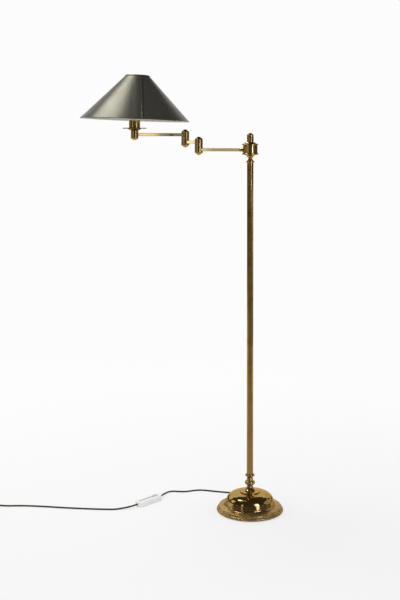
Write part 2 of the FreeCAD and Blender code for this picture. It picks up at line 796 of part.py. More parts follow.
def soft_block(length, width, bottom, top, corner, edge):
    """Box centred on Z with round corners in plan and a rounded upper edge."""
    block = Part.makeBox(length, width, top - bottom, Vector(-length / 2, -width / 2, bottom))
    upright = [item for item in block.Edges if abs(item.tangentAt(0).z) > 0.9]
    block = block.makeFillet(corner, upright)
    upper = [item for item in block.Edges if item.BoundBox.ZMin > top - 0.01]
    return block.makeFillet(edge, upper)


def make_switch():
    """Inline dimmer: a tray, a cover with a track, and the slider that runs in it."""
    track_floor = SWITCH_H - TRACK_DEPTH
    tray = soft_block(SWITCH_L - 0.6, SWITCH_W - 0.6, 0, SPLIT_Z, SWITCH_CORNER_R - 0.3, 0.3)
    cover = soft_block(SWITCH_L, SWITCH_W, SPLIT_Z, SWITCH_H, SWITCH_CORNER_R, 3.0)
    track = Part.makeBox(TRACK_L, TRACK_W, 10, Vector(-TRACK_L / 2, -TRACK_W / 2, track_floor))
    guide = Part.makeBox(TRACK_L - 8, 3.0, 10, Vector(4 - TRACK_L / 2, -1.5, track_floor - 3.0))
    cover = cover.cut(track).cut(guide)
    knob_w = TRACK_W - 1.0
    knob_corner = Vector(-SLIDER_L / 2, -knob_w / 2, track_floor + 0.1)
    knob = Part.makeBox(SLIDER_L, knob_w, SLIDER_H, knob_corner)
    knob_top = track_floor + SLIDER_H
    knob = knob.makeFillet(0.8, [item for item in knob.Edges if item.BoundBox.ZMin > knob_top])
    stem = Part.makeBox(5.0, 2.2, 2.9, Vector(-2.5, -1.1, track_floor - 2.6))
    for groove in (-3.0, 0.0, 3.0):
        cut = Part.makeBox(1.0, TRACK_W, 1.0, Vector(groove - 0.5, -TRACK_W / 2, track_floor + 4.0))
        knob = knob.cut(cut)
    slider = knob.fuse(stem).removeSplitter()
    slider.translate(Vector(SLIDER_REST, 0, 0))
    parts = {"dimmer_tray": tray, "dimmer_cover": cover, "dimmer_slider": slider}
    return {name: placed(shape, SWITCH_CENTRE, SWITCH_YAW) for name, shape in parts.items()}


def coil_point(turn):
    """Centre of the coiled cord after so many turns: in on the floor, out one layer up."""
    middle = COIL_TURNS / 2
    away = abs(turn - middle)
    steps_out = 2 * away ** 2 if away < 0.25 else away - 0.125
    radius = COIL_IN_R + COIL_PITCH * steps_out
    climb = min(max((turn - middle + 0.25) / 0.5, 0.0), 1.0)
    height = COIL_FLOOR_Z + COIL_PITCH * (3 - 2 * climb) * climb ** 2
    angle = math.radians(COIL_START_DEG + 360 * turn)
    return COIL_CENTRE + Vector(radius * math.cos(angle), radius * math.sin(angle), height)


def coil_heading(turn):
    step = 1e-4
    heading = coil_point(turn + step) - coil_point(turn - step)
    heading.normalize()
    return heading


def bend(start, corner, end):
    """Arc from start to end that is tangent to both legs of the corner between them."""
    chord = (end - start).Length
    leg = (corner - start).Length
    weight = chord / (2 * leg)
    middle = (start + corner * (2 * weight) + end) * (1 / (2 + 2 * weight))
    return Part.Arc(start, middle, end).toShape()


def biarc(start, start_heading, end, end_heading):
    """Two arcs with equal legs that leave and arrive along the given headings."""
    chord = end - start
    both = start_heading + end_heading
    spread = 2 * (1 - start_heading.dot(end_heading))
    along = chord.dot(both)
    if spread > 1e-9:
        leg = (math.sqrt(along ** 2 + spread * chord.dot(chord)) - along) / spread
    else:
        leg = chord.dot(chord) / (2 * along)
    first_corner = start + start_heading * leg
    second_corner = end - end_heading * leg
    joint = (first_corner + second_corner) * 0.5
    return [bend(start, first_corner, joint), bend(joint, second_corner, end)]


def coil_edges():
    steps = int(COIL_TURNS * 4)
    turns = [index / 4 for index in range(steps + 1)]
    edges = []
    start_heading = coil_heading(0)
    start = coil_point(0)
    edges.append(Part.LineSegment(start - start_heading * 2 * CORD_R, start).toShape())
    for first, second in zip(turns[:-1], turns[1:]):
        ends = (coil_point(first), coil_heading(first), coil_point(second), coil_heading(second))
        edges.extend(biarc(*ends))
    out_heading = Vector(0, -1, 0)
    landing = PLUG_ENTRY - out_heading * 2 * CORD_R
    edges.extend(biarc(coil_point(turns[-1]), coil_heading(turns[-1]), landing, out_heading))
    edges.append(Part.LineSegment(landing, PLUG_ENTRY).toShape())
    return edges


def least_self_gap(edges, diameter, apart):
    """Least distance between stretches of the path that lie at least so far apart along it."""
    points = []
    lengths = []
    run = 0.0
    for edge in edges:
        count = max(2, int(edge.Length / 1.5))
        for index in range(count):
            share = index / count
            span = edge.LastParameter - edge.FirstParameter
            points.append(edge.valueAt(edge.FirstParameter + span * share))
            lengths.append(run + edge.Length * share)
        run += edge.Length
    least = 1e9
    for first in range(len(points)):
        for second in range(first + 1, len(points)):
            if lengths[second] - lengths[first] > apart:
                least = min(least, points[first].distanceToPoint(points[second]))
    return least - diameter


def tie_block(near, far, low, high, width, corner):
    """Block across the X axis with rounded long edges."""
    block = Part.makeBox(far - near, width, high - low, Vector(near, -width / 2, low))
    return block.makeFillet(corner, [item for item in block.Edges if abs(item.tangentAt(0).y) > 0.9])


def make_coil():
    edges = coil_edges()
    coil = swept(edges, CORD_R)
    report_tube("cord_coil", coil, edges, CORD_R)
    print("cord_coil: least gap to itself %.2f mm" % least_self_gap(edges, 2 * CORD_R, 60.0))

    # The tie's inner opening goes round the turns where the coil is three wide and two high
    margin = 0.35
    near = COIL_IN_R + 0.375 * COIL_PITCH - CORD_R - margin
    far = COIL_IN_R + 2.375 * COIL_PITCH + CORD_R + margin
    low = COIL_FLOOR_Z - CORD_R - 0.05
    high = COIL_FLOOR_Z + COIL_PITCH + CORD_R + margin
    outer = tie_block(near - TIE_T, far + TIE_T, low - TIE_T, high + TIE_T, TIE_W, 1.4)
    inner = tie_block(near, far, low, high, TIE_W + 2, 0.9)
    tie = placed(outer.cut(inner), COIL_CENTRE, TIE_AZIMUTH)
    return {"cord_coil": coil, "coil_tie": tie}


def make_plug():
    """Flat two-pin plug lying on the floor, its cord entry at the origin and its pins along -Y."""
    half_w = PLUG_W / 2
    right_side = [(5, 0), (8, -11), (half_w, -24), (half_w, -PLUG_L)]
    left_side = [(-x, y) for x, y in reversed(right_side)]
    corners = [Vector(x, y, -PLUG_T / 2) for x, y in right_side + left_side]
    outline = Part.makePolygon(corners + corners[:1])
    body = Part.Face(outline).extrude(Vector(0, 0, PLUG_T))
    upright = [item for item in body.Edges if abs(item.tangentAt(0).z) > 0.9 and item.BoundBox.YMax < -5]
    body = body.makeFillet(2.5, upright)
    rims = []
    for item in body.Edges:
        flat = item.BoundBox.ZLength < 0.01
        if flat and item.BoundBox.YMin > -PLUG_L + 0.5 and item.BoundBox.YMax < -0.5:
            rims.append(item)
    body = body.makeFillet(2.0, rims)
    pins = []
    for side in (-PLUG_PIN_PITCH / 2, PLUG_PIN_PITCH / 2):
        root = Vector(side, -PLUG_L, 0)
        pin = Part.makeCylinder(PLUG_PIN_R, PLUG_PIN_L, root, Vector(0, -1, 0))
        tip = [item for item in pin.Edges if item.BoundBox.YMax < 0.1 - PLUG_L - PLUG_PIN_L]
        pins.append(pin.makeFillet(1.2, tip))
    parts = {"plug_body": body, "plug_pins": Part.makeCompound(pins)}
    return {name: placed(shape, PLUG_ENTRY) for name, shape in parts.items()}


def make_cords():
    return {
        "cord_near": routed_tube("cord_near", NEAR_ROUTE, CORD_R),
        "cord_far": routed_tube("cord_far", FAR_ROUTE, CORD_R),
    }


def main():
    os.makedirs("parts", exist_ok=True)
    nodes = {}
    for make in (
        make_base,
        make_pole,
        make_hub,
        make_arms,
        make_lampholder,
        make_shade,
        make_leads,
        make_switch,
        make_cords,
        make_coil,
        make_plug,
    ):
        nodes.update(make())
    for name, shape in nodes.items():
        if not shape.isValid():
            print("not valid:", name)
        shape.exportStep("parts/%s.step" % name)
    print("nodes:", len(nodes))


main()
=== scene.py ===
import bpy
import json
import math
import random
from mathutils import Matrix, Vector, noise


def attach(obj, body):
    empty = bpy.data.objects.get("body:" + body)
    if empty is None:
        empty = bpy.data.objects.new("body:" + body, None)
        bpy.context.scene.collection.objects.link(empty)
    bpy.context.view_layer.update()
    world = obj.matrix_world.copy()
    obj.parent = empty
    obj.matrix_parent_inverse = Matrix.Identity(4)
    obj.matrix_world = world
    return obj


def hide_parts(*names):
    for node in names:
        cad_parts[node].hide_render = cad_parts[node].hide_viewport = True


# Swing arm floor lamp. Metres, +Z up, the pole's axis at the origin, -Y towards the camera.
# Outlines of turned pieces are written in millimetres and scaled by MM.

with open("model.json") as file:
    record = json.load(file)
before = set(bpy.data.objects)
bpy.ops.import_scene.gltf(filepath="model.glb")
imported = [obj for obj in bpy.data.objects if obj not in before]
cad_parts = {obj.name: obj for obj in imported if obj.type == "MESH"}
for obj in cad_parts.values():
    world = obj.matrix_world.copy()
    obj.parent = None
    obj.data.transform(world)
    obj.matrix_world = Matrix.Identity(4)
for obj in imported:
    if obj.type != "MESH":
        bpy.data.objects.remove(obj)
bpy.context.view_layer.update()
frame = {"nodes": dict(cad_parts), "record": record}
nodes = frame["nodes"]
scene = bpy.context.scene
scene.view_settings.view_transform = "Standard"

MM = 0.001

# Camera
LENS_MM = 60.46
SENSOR_MM = 36.0
CAMERA_AT = (-0.1561, -3.1285, 1.1484)
CAMERA_DOWN_DEG = 1.253
CAMERA_SHIFT = -0.225

# Cords, within 6 mm of the model's tubes, in millimetres
CORD_R = 2.5
GLAND_AZIMUTH = 110.5
GLAND_HEIGHT = 7.5
NEAR_ROUTE = [
    (-44.8, 119.9, 7.5),
    (-50.1, 134.0, 7.5),
    (-61.8, 146.2, 4.4),
    (-76.7, 154.3, 2.6),
    (-107.8, 162.4, 2.5),
    (-151.6, 176.7, 2.5),
    (-177.9, 170.4, 2.5),
    (-200.6, 160.0, 2.5),
    (-228.0, 160.8, 2.5),
    (-246.0, 164.9, 2.5),
    (-261.4, 156.2, 2.7),
    (-268.3, 140.5, 4.6),
    (-276.0, 120.5, 7.2),
    (-281.8, 105.25, 8.0),
    (-286.96, 99.72, 8.0),
]
FAR_ROUTE = [
    (-354.04, 28.28, 8.0),
    (-366.7, 14.8, 8.0),
    (-387.5, 9.5, 4.6),
    (-419.6, -0.4, 2.5),
    (-445.7, -0.4, 2.5),
    (-495.3, 2.7, 2.5),
    (-588.3, 14.2, 2.5),
    (-640.0, 23.8, 2.5),
    (-719.1, 32.7, 2.5),
    (-772.6, 28.7, 2.6),
    (-802.4, 38.29, 3.1),
    (-822.0, 37.82, 3.1),
]
COIL_CENTRE = (-827.0, 0.5)
COIL_TURNS = 6.25
COIL_START_DEG = 90.0
COIL_IN_R = 20.4
COIL_PITCH = 5.6
COIL_FLOOR_Z = 3.1
COIL_STEPS_PER_TURN = 16
LEAD_OUT = [
    (-864.47, -10.94, 8.7),
    (-867.5, -33.56, 7.0),
    (-867.5, -45.0, 7.0),
    (-867.5, -50.0, 7.0),
]

# Studio, in metres, degrees from -Y towards +X, and radiance
PAPER_LEFT = -3.2
PAPER_RIGHT = 3.0
PAPER_FRONT = -3.4
PAPER_BACK = 3.4
PAPER_CENTRE = (-0.2, 0.05, 0.0)
ROOM_RADIUS = 4.6
ROOM_TOP = 3.0
ROOM_PARTS = [(-162.0, -126.0, 1.15), (-126.0, 136.0, 3.0), (136.0, 150.0, 1.15)]
CEILING_BACK = 2.9
FLOOR_MATTE_SHARE = 0.38
VEIL_START = 0.5
VEIL_END = -3.0
VEIL_POWER = 0.4
VEIL_HEIGHT = 0.003
VEIL_GLOW = (0.2, 0.17, 0.13)
AMBIENT = 0.88
BACKDROP = 0.975
PAPER_WHITE = (0.9, 0.9, 0.9, 1.0)
ROOM_STEPS = 30
ROOM_FOOT_TOP = 1.5
ROOM_FOOT = (0.27, 0.225, 0.165)
ROOM_DARKEST = (0.06, 0.056, 0.048)
ROOM_LIGHTEST = (0.08, 0.075, 0.064)
KEY_AT = (-1.09, 0.382, 2.6)
KEY_TOWARDS = (-0.36, 0.05, 1.3)
KEY_SIZE = (0.55, 0.9)
KEY_RADIANCE = 8.7
DAYLIGHT = (0.92, 1.02, 1.55)
WHITE = (1.0, 1.0, 1.0)
COOL = (1.0, 1.0, 1.2)
WARM = (1.0, 0.9, 0.78)
SOFT_EDGE = 0.02
PANEL_STEPS = 6
# Bright panels that the brass mirrors: name, azimuths, (distance, height) of the lower and the upper
# edge, radiance, height over which each edge fades, tone
PANELS = [
    ("right_window_low", (29.0, 41.0), (4.45, 0.84), (4.4, 1.16), 5.5, (0.03, 0.03), DAYLIGHT),
    ("right_window_middle", (37.5, 43.5), (4.4, 1.16), (4.1, 1.55), 3.4, (0.02, 0.02), DAYLIGHT),
    ("right_window_high", (24.0, 46.0), (4.1, 1.53), (2.6, 2.9), 4.5, (0.03, 0.1), DAYLIGHT),
    ("right_window_glow", (22.0, 48.0), (4.5, 0.5), (4.5, 0.95), 0.5, (0.3, SOFT_EDGE), WHITE),
    ("left_strip", (-45.0, -37.0), (4.0, 0.95), (4.0, 2.7), 1.3, (SOFT_EDGE, SOFT_EDGE), WHITE),
    ("low_left_board", (-114.0, -86.0), (2.1, 0.0), (2.1, 0.28), 0.9, (0.01, 0.12), WHITE),
    ("left_window", (-114.0, -93.0), (4.0, 1.32), (3.6, 2.95), 1.3, (SOFT_EDGE, 0.1), WHITE),
    ("low_right_board", (84.0, 136.0), (2.6, 0.0), (2.6, 0.9), 1.0, (0.8, SOFT_EDGE), WHITE),
    ("right_board", (76.0, 126.0), (3.5, 1.32), (3.2, 2.5), 0.7, (0.05, 0.1), WHITE),
    ("link_strip", (-98.3, -94.7), (3.9, 1.04), (3.9, 1.28), 1.9, (SOFT_EDGE, SOFT_EDGE), COOL),
    ("inner_arm_strip", (-69.0, -66.2), (4.0, 0.96), (4.0, 1.22), 1.25, (SOFT_EDGE, SOFT_EDGE), WHITE),
    ("inner_arm_dim_strip", (-66.1, -62.0), (4.0, 0.96), (4.0, 1.22), 0.7, (SOFT_EDGE, SOFT_EDGE), WHITE),
    ("outer_arm_strip", (61.0, 64.2), (4.0, 1.13), (4.0, 1.36), 1.8, (SOFT_EDGE, SOFT_EDGE), WARM),
    ("outer_arm_dim_strip", (64.3, 67.5), (4.0, 1.13), (4.0, 1.36), 0.4, (SOFT_EDGE, SOFT_EDGE), WHITE),
    ("ceiling_patch", (-85.0, -67.0), (1.1, 2.85), (1.5, 2.95), 0.4, (SOFT_EDGE, SOFT_EDGE), WHITE),
]

# Base, as in the model: outline of the brass shell from the rim to the neck
SHELL_OUTLINE = [
    (100.8, 1.2),
    ((103.5, 4.9), (100.9, 8.4)),
    (99.3, 9.3),
    (99.2, 10.3),
    ((98.3, 14.3), (94.6, 16.4)),
    (84.5, 18.0),
    ((79.2, 20.8), (76.6, 26.0)),
    (74.0, 34.2),
    ((67.2, 46.6), (56.0, 53.7)),
    ((44.0, 57.4), (31.5, 58.8)),
]
# Knocks in the rim: azimuth from the front in degrees, depth in millimetres, half width in degrees
RIM_KNOCKS = [
    (-26.0, 1.0, 3.2),
    (-17.6, 0.7, 2.4),
    (32.4, 1.1, 3.0),
    (48.7, 0.9, 2.6),
]
# The rest of the rim takes small knocks at random, between these azimuths
KNOCK_SEED = 11
KNOCKS_FROM = 58.0
KNOCKS_TO = 322.0
SHELL_SEGMENTS = 420

# Shade, as in the model
SOCKET = (-362.0, 45.0)
CARRIER_Z = 1240.0
SHADE_SHIFT = 1.5
SHADE_LEAN_DEG = 2.1
SHADE_RIM_R = 171.6
SHADE_TOP_R = 36.0
SHADE_TOP_OFF_CENTRE = 3.4
SHADE_RIM_Z = -19.0
SHADE_H = 140.0
SHADE_CARD = 0.8
CARD_ROWS = 40
CARD_COLUMNS = 720
CARD_WOBBLE = 0.35
# Card's lap: sideways place of its edge at the rim and the top, its width, and how its edge lifts
SEAM_SIDE = (33.6, 17.2)
SEAM_LAP = 10.0
SEAM_LIFT = 1.3
SEAM_LIP = 0.4
TAPE_T = 0.25
TAPE_SEGMENTS = 240
TAPE_STEPS = 5

# Lampholder and its rings, as in the model, in millimetres. Outlines are (radius, height).
HOLDER_FOOT = [(5.05, 1189.3), (9.8, 1189.3), (14.6, 1193.6), (15.6, 1197.0), (15.6, 1222.0), (19.2, 1225.0)]
HOLDER_MOUTH = [(19.2, 1250.8), (18.4, 1252.0), (14.1, 1252.0), (14.1, 1216.0), (3.0, 1216.0), (3.0, 1200.0)]
THREAD_R = 19.2
THREAD_LOW = 1225.4
THREAD_HIGH = 1250.4
THREAD_ROW = 0.4
THREAD_PITCH = 2.5
THREAD_DEPTH = 0.55
RING_IN_R = 19.8
RING_R = 27.0
RING_T = 4.0
RING_EDGE = 0.8
CARRIER_HALF_T = 0.6
RING_CLEARANCE = 0.03
KNURLS = 60
KNURL_DEPTH = 0.5

# Drip dish, as in the model, with the radius of its rolled edge
DISH_R = 38.0
DISH_EDGE_Z = 1194.3
BEAD_R = 1.25
BEAD_RISE = 0.4
BEAD_POINTS = 10

# Arms, as in the model
ELBOW_1 = (-160.0, 102.0)
ELBOW_2 = (-204.0, 150.0)
ARM_LEVEL = 1127.0
LEVEL_STEP = 24.0
BAR_HALF = 5.0
BAR_CORNER_R = 0.6
BAR_ROWS = 24
BAR_ARC_STEPS = 5
BAR_WEAR = 0.02
# Distance of each bar's ends from the axes that it lies between
HUB_GAP = 36.5
ELBOW_GAP = 10.5
COLUMN_GAP = 9.4

# Dimmer, as in the model
DIMMER_CENTRE = (-320.5, 64.0)
DIMMER_YAW_DEG = 46.8
DIMMER_TRACK = (41.0, 4.5)

# Brass near the floor is handled and scuffed up to HAZE_HIGH, and filmed up to FILM_HIGH, in metres
HAZE_LOW = 0.017
HAZE_HIGH = 0.032
FILM = 0.3
FILM_HIGH = 0.021
FOOT_LOW = 0.2
FOOT_HIGH = 0.75
FOOT_SHARE = 0.7
BRASS = (0.5, 0.345, 0.135)
DULL_BRASS = (0.27, 0.16, 0.052)
PALE_BRASS = (0.53, 0.44, 0.23)
FOOT_BRASS = (0.45, 0.28, 0.09)
SPECK_BROWN = (0.12, 0.066, 0.024)
# Brown of the soiling and painted shade in the hollows of brass
DIRT_AND_SHADE_BROWN = (0.07, 0.042, 0.016)
WEAR_BROWN = (0.1, 0.06, 0.024)
ROUND_LINES = (0.03, 0.03, 1.0)
UPRIGHT_LINES = (1.0, 1.0, 0.04)
BAR_LINES = (0.06, 0.06, 1.0)
PLASTIC_GRAIN = 700.0
PLASTIC_DEPTH = 0.00003
METAL_GRAIN = 420.0


def add_object(name, data):
    piece = bpy.data.objects.new(name, data)
    scene.collection.objects.link(piece)
    return piece


def mesh_object(name, verts, faces, smooth=True):
    mesh = bpy.data.meshes.new(name)
    mesh.from_pydata([tuple(v) for v in verts], [], faces)
    mesh.validate()
    if smooth:
        mesh.shade_smooth()
    return add_object(name, mesh)


def dress(piece, body, material):
    """Gives a piece its material and the body that it rides on."""
    piece.data.materials.clear()
    piece.data.materials.append(material)
    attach(piece, body)
    return piece


def smoothstep(low, high, value):
    share = min(max((value - low) / (high - low), 0.0), 1.0)
    return share * share * (3 - 2 * share)


def arc_through(start, middle, end, count):
    """Points after start on the circle through three (radius, height) points."""
    ax, ay = start
    bx, by = middle
    cx, cy = end
    double_area = 2 * (ax * (by - cy) + bx * (cy - ay) + cx * (ay - by))
    aa, bb, cc = ax * ax + ay * ay, bx * bx + by * by, cx * cx + cy * cy
    ox = (aa * (by - cy) + bb * (cy - ay) + cc * (ay - by)) / double_area
    oy = (aa * (cx - bx) + bb * (ax - cx) + cc * (bx - ax)) / double_area
    radius = math.hypot(ax - ox, ay - oy)
    first = math.atan2(ay - oy, ax - ox)
    via = (math.atan2(by - oy, bx - ox) - first) % math.tau
    turn = (math.atan2(cy - oy, cx - ox) - first) % math.tau
    if via > turn:
        turn -= math.tau
    points = []
    for index in range(1, count + 1):
        angle = first + turn * index / count
        points.append((ox + radius * math.cos(angle), oy + radius * math.sin(angle)))
    return points


def outline(start, *steps, spacing=2.0):
    """Points along an outline. A step is a point, or a pair of points for an arc."""
    points = [start]
    for step in steps:
        here = points[-1]
        if isinstance(step[0], tuple):
            span = math.dist(here, step[0]) + math.dist(step[0], step[1])
            points.extend(arc_through(here, step[0], step[1], max(6, int(span / spacing))))
        else:
            parts = max(1, int(math.dist(here, step) / spacing))
            for index in range(1, parts + 1):
                share = index / parts
                across = here[0] + (step[0] - here[0]) * share
                height = here[1] + (step[1] - here[1]) * share
                points.append((across, height))
    return points


def ring_faces(segments, rows, closed=False):
    """Quads between neighbouring outlines round a turned piece, with closed outlines if closed is set."""
    faces = []
    for index in range(segments):
        here = index * rows
        beside = (index + 1) % segments * rows
        for row in range(rows if closed else rows - 1):
            above = (row + 1) % rows
            faces.append((here + row, beside + row, beside + above, here + above))
    return faces


def turned_mesh(name, points, segments, move=None, closed=False):
    """Surface of revolution in metres from (radius, height) points in millimetres."""
    verts = []
    rows = len(points)
    for index in range(segments):
        angle = math.tau * index / segments
        for radius, height in points:
            place = Vector((radius * math.cos(angle), radius * math.sin(angle), height))
            if move:
                place = move(place, radius, height, angle)
            verts.append(place * MM)
    return mesh_object(name, verts, ring_faces(segments, rows, closed))


def sharpen(piece, degrees):
    piece.data.set_sharp_from_angle(angle=math.radians(degrees))


# Node helpers


def new_material(name):
    material = bpy.data.materials.new(name)
    material.use_nodes = True
    return material, material.node_tree, material.node_tree.nodes["Principled BSDF"]


def add_node(tree, kind, settings=None, **sockets):
    """Adds a shader node. Keywords set its sockets, by name with _ for a space."""
    node = tree.nodes.new("ShaderNode" + kind)
    for key, value in (settings or {}).items():
        setattr(node, key, value)
    for key, value in sockets.items():
        socket = node.inputs[key.replace("_", " ")]
        if isinstance(value, bpy.types.NodeSocket):
            tree.links.new(value, socket)
        else:
            socket.default_value = value
    return node


def object_coords(tree, scale=(1.0, 1.0, 1.0)):
    coords = add_node(tree, "TexCoord")
    mapping = add_node(tree, "Mapping", Vector=coords.outputs["Object"], Scale=scale)
    return mapping.outputs["Vector"]


def noise_value(tree, vector, scale, detail=4.0, roughness=0.55):
    node = add_node(tree, "TexNoise", Vector=vector, Scale=scale, Detail=detail, Roughness=roughness)
    return node.outputs["Fac"]


def ranged(tree, value, low, high, to_low=0.0, to_high=1.0):
    node = add_node(tree, "MapRange", Value=value)
    node.inputs["From Min"].default_value = low
    node.inputs["From Max"].default_value = high
    node.inputs["To Min"].default_value = to_low
    node.inputs["To Max"].default_value = to_high
    return node.outputs["Result"]


def mixed(tree, factor, first, second):
    """Mixes two colours, each a socket or three numbers."""
    node = add_node(tree, "Mix", {"data_type": "RGBA"})
    for socket, value in ((node.inputs[0], factor), (node.inputs[6], first), (node.inputs[7], second)):
        if isinstance(value, bpy.types.NodeSocket):
            tree.links.new(value, socket)
        elif isinstance(value, tuple):
            socket.default_value = value + (1.0,)
        else:
            socket.default_value = value
    return node.outputs[2]


def maths(tree, operation, first, second=0.0):
    node = add_node(tree, "Math", {"operation": operation})
    for socket, value in zip(node.inputs, (first, second)):
        if isinstance(value, bpy.types.NodeSocket):
            tree.links.new(value, socket)
        else:
            socket.default_value = value
    return node.outputs[0]


def bumped(tree, height, distance, strength=1.0, normal=None):
    node = add_node(tree, "Bump", Height=height, Distance=distance, Strength=strength)
    if normal:
        tree.links.new(normal, node.inputs["Normal"])
    return node.outputs["Normal"]


def brass_material(
    name, tint, dull, rough, tarnish, brushed, brush_scale, speck, ripple_depth,
    streak=0.35, haze=0.0, foot=None, grime_and_shade=0.8,
):
    """Aged lacquered brass: cloudy tarnish, dark specks, fine polishing lines and soft ripples.

    brushed scales the object's axes, so that the fine lines run along the axis with the smallest number.
    haze is added roughness near the floor, with wear and a dirty film. foot is a deeper tone that the
    lower half of a tall piece takes. streak, speck and grime_and_shade are the strengths of the lines,
    of the specks and of the darkening of hollows by ambient occlusion, part soiling and part painted shade.
    """
    material, tree, shader = new_material(name)
    coords = object_coords(tree)
    clouds = noise_value(tree, coords, 34.0, 6.0, 0.62)
    broad = noise_value(tree, coords, 9.0, 3.0)
    specks = noise_value(tree, coords, 260.0, 3.0)
    cover = ranged(tree, clouds, 0.4, 0.7, 0.0, tarnish)
    cover = maths(tree, "ADD", cover, ranged(tree, broad, 0.4, 0.7, 0.0, tarnish * 0.6))
    spots = ranged(tree, specks, 0.66, 0.76, 0.0, speck)
    # Soiling and painted shade: ambient occlusion darkens the colour in hollows towards a brown
    hollows = add_node(tree, "AmbientOcclusion", {"samples": 6}, Distance=0.005)
    dirt_and_shade = ranged(tree, hollows.outputs["AO"], 0.15, 0.6, grime_and_shade, 0.0)
    lines = noise_value(tree, object_coords(tree, brushed), brush_scale, 2.0)
    colour = mixed(tree, cover, tint, dull)
    colour = mixed(tree, ranged(tree, lines, 0.55, 0.8, 0.0, streak), colour, dull)
    height = add_node(tree, "SeparateXYZ", Vector=coords).outputs["Z"]
    if foot:
        colour = mixed(tree, ranged(tree, height, FOOT_LOW, FOOT_HIGH, FOOT_SHARE, 0.0), colour, foot)
    colour = mixed(tree, spots, colour, SPECK_BROWN)
    colour = mixed(tree, dirt_and_shade, colour, DIRT_AND_SHADE_BROWN)
    if haze:
        handled = ranged(tree, height, HAZE_LOW - 0.004, HAZE_HIGH, 1.0, 0.0)
        wear = ranged(tree, noise_value(tree, coords, 130.0, 5.0, 0.65), 0.5, 0.6, 0.0, 0.65)
        colour = mixed(tree, maths(tree, "MULTIPLY", handled, wear), colour, WEAR_BROWN)
    tree.links.new(colour, shader.inputs["Base Color"])
    worn = ranged(tree, clouds, 0.35, 0.75, rough[0], rough[1])
    worn = maths(tree, "ADD", worn, ranged(tree, lines, 0.4, 0.8, 0.0, 0.17 * streak))
    if haze:
        worn = maths(tree, "ADD", worn, maths(tree, "MULTIPLY", handled, haze))
    tree.links.new(worn, shader.inputs["Roughness"])
    ripple = noise_value(tree, coords, 60.0, 2.0)
    normal = bumped(tree, ripple, ripple_depth, 0.2)
    normal = bumped(tree, lines, 0.000015, 0.5, normal)
    tree.links.new(normal, shader.inputs["Normal"])
    shader.inputs["Metallic"].default_value = 1.0
    if haze:
        filmed = ranged(tree, height, HAZE_LOW, FILM_HIGH, 1.0 - FILM, 1.0)
        tree.links.new(filmed, shader.inputs["Metallic"])
    shader.inputs["Specular Tint"].default_value = (0.82, 0.66, 0.42, 1.0)
    shader.inputs["Coat Weight"].default_value = 0.08
    shader.inputs["Coat Roughness"].default_value = 0.06
    return material


def metal_material(name, colour, dark, rough):
    """Plain plated or cast metal with a mottled finish."""
    material, tree, shader = new_material(name)
    coords = object_coords(tree)
    mottle = noise_value(tree, coords, 55.0, 5.0)
    fine = noise_value(tree, coords, METAL_GRAIN, 3.0)
    tree.links.new(mixed(tree, ranged(tree, mottle, 0.35, 0.7), colour, dark), shader.inputs["Base Color"])
    tree.links.new(ranged(tree, fine, 0.3, 0.8, rough, rough + 0.18), shader.inputs["Roughness"])
    tree.links.new(bumped(tree, fine, 0.00008, 0.4), shader.inputs["Normal"])
    shader.inputs["Metallic"].default_value = 1.0
    return material


def plastic_material(name, colour, dark, rough, specular=0.5):
    """Moulded plastic or enamel with a faint grain and slightly uneven gloss."""
    material, tree, shader = new_material(name)
    coords = object_coords(tree)
    soft = noise_value(tree, coords, 38.0, 4.0)
    fine = noise_value(tree, coords, PLASTIC_GRAIN, 2.0)
    tree.links.new(mixed(tree, ranged(tree, soft, 0.3, 0.75), colour, dark), shader.inputs["Base Color"])
    tree.links.new(ranged(tree, soft, 0.3, 0.7, rough, rough + 0.12), shader.inputs["Roughness"])
    tree.links.new(bumped(tree, fine, PLASTIC_DEPTH, 0.5), shader.inputs["Normal"])
    shader.inputs["Specular IOR Level"].default_value = specular
    return material


def dimmer_material():
    """White moulding, a grey inlay along the slider's track, and dusty corners darkened partly as painted
    shade.
    """
    material, tree, shader = new_material("white_moulding")
    coords = add_node(tree, "TexCoord")
    mapping = add_node(tree, "Mapping", {"vector_type": "TEXTURE"}, Vector=coords.outputs["Object"])
    mapping.inputs["Location"].default_value = (DIMMER_CENTRE[0] * MM, DIMMER_CENTRE[1] * MM, 0.0)
    mapping.inputs["Rotation"].default_value = (0.0, 0.0, math.radians(DIMMER_YAW_DEG))
    apart = add_node(tree, "SeparateXYZ", Vector=mapping.outputs["Vector"])
    inside = []
    for output, half in zip(("X", "Y"), DIMMER_TRACK):
        edge = half * MM
        reach = maths(tree, "ABSOLUTE", apart.outputs[output])
        inside.append(ranged(tree, reach, edge - 0.0002, edge + 0.0001, 1.0, 0.0))
    inlay = maths(tree, "MULTIPLY", inside[0], inside[1])
    above = ranged(tree, apart.outputs["Z"], 0.0135, 0.0139, 0.0, 1.0)
    inlay = maths(tree, "MULTIPLY", inlay, above)
    soft = noise_value(tree, mapping.outputs["Vector"], 38.0, 4.0)
    fine = noise_value(tree, mapping.outputs["Vector"], 800.0, 2.0)
    body = mixed(tree, ranged(tree, soft, 0.3, 0.75), (0.9, 0.895, 0.875), (0.86, 0.855, 0.835))
    band = mixed(tree, ranged(tree, soft, 0.3, 0.75), (0.66, 0.66, 0.64), (0.6, 0.6, 0.58))
    colour = mixed(tree, inlay, body, band)
    # Dusty grey and painted shade in corners and recesses, by ambient occlusion
    hollows = add_node(tree, "AmbientOcclusion", {"samples": 6}, Distance=0.004)
    dust_and_shade = ranged(tree, hollows.outputs["AO"], 0.1, 0.5, 0.2, 0.0)
    colour = mixed(tree, dust_and_shade, colour, (0.3, 0.29, 0.27))
    tree.links.new(colour, shader.inputs["Base Color"])
    tree.links.new(ranged(tree, soft, 0.3, 0.7, 0.3, 0.42), shader.inputs["Roughness"])
    tree.links.new(bumped(tree, fine, 0.00003, 0.5), shader.inputs["Normal"])
    return material


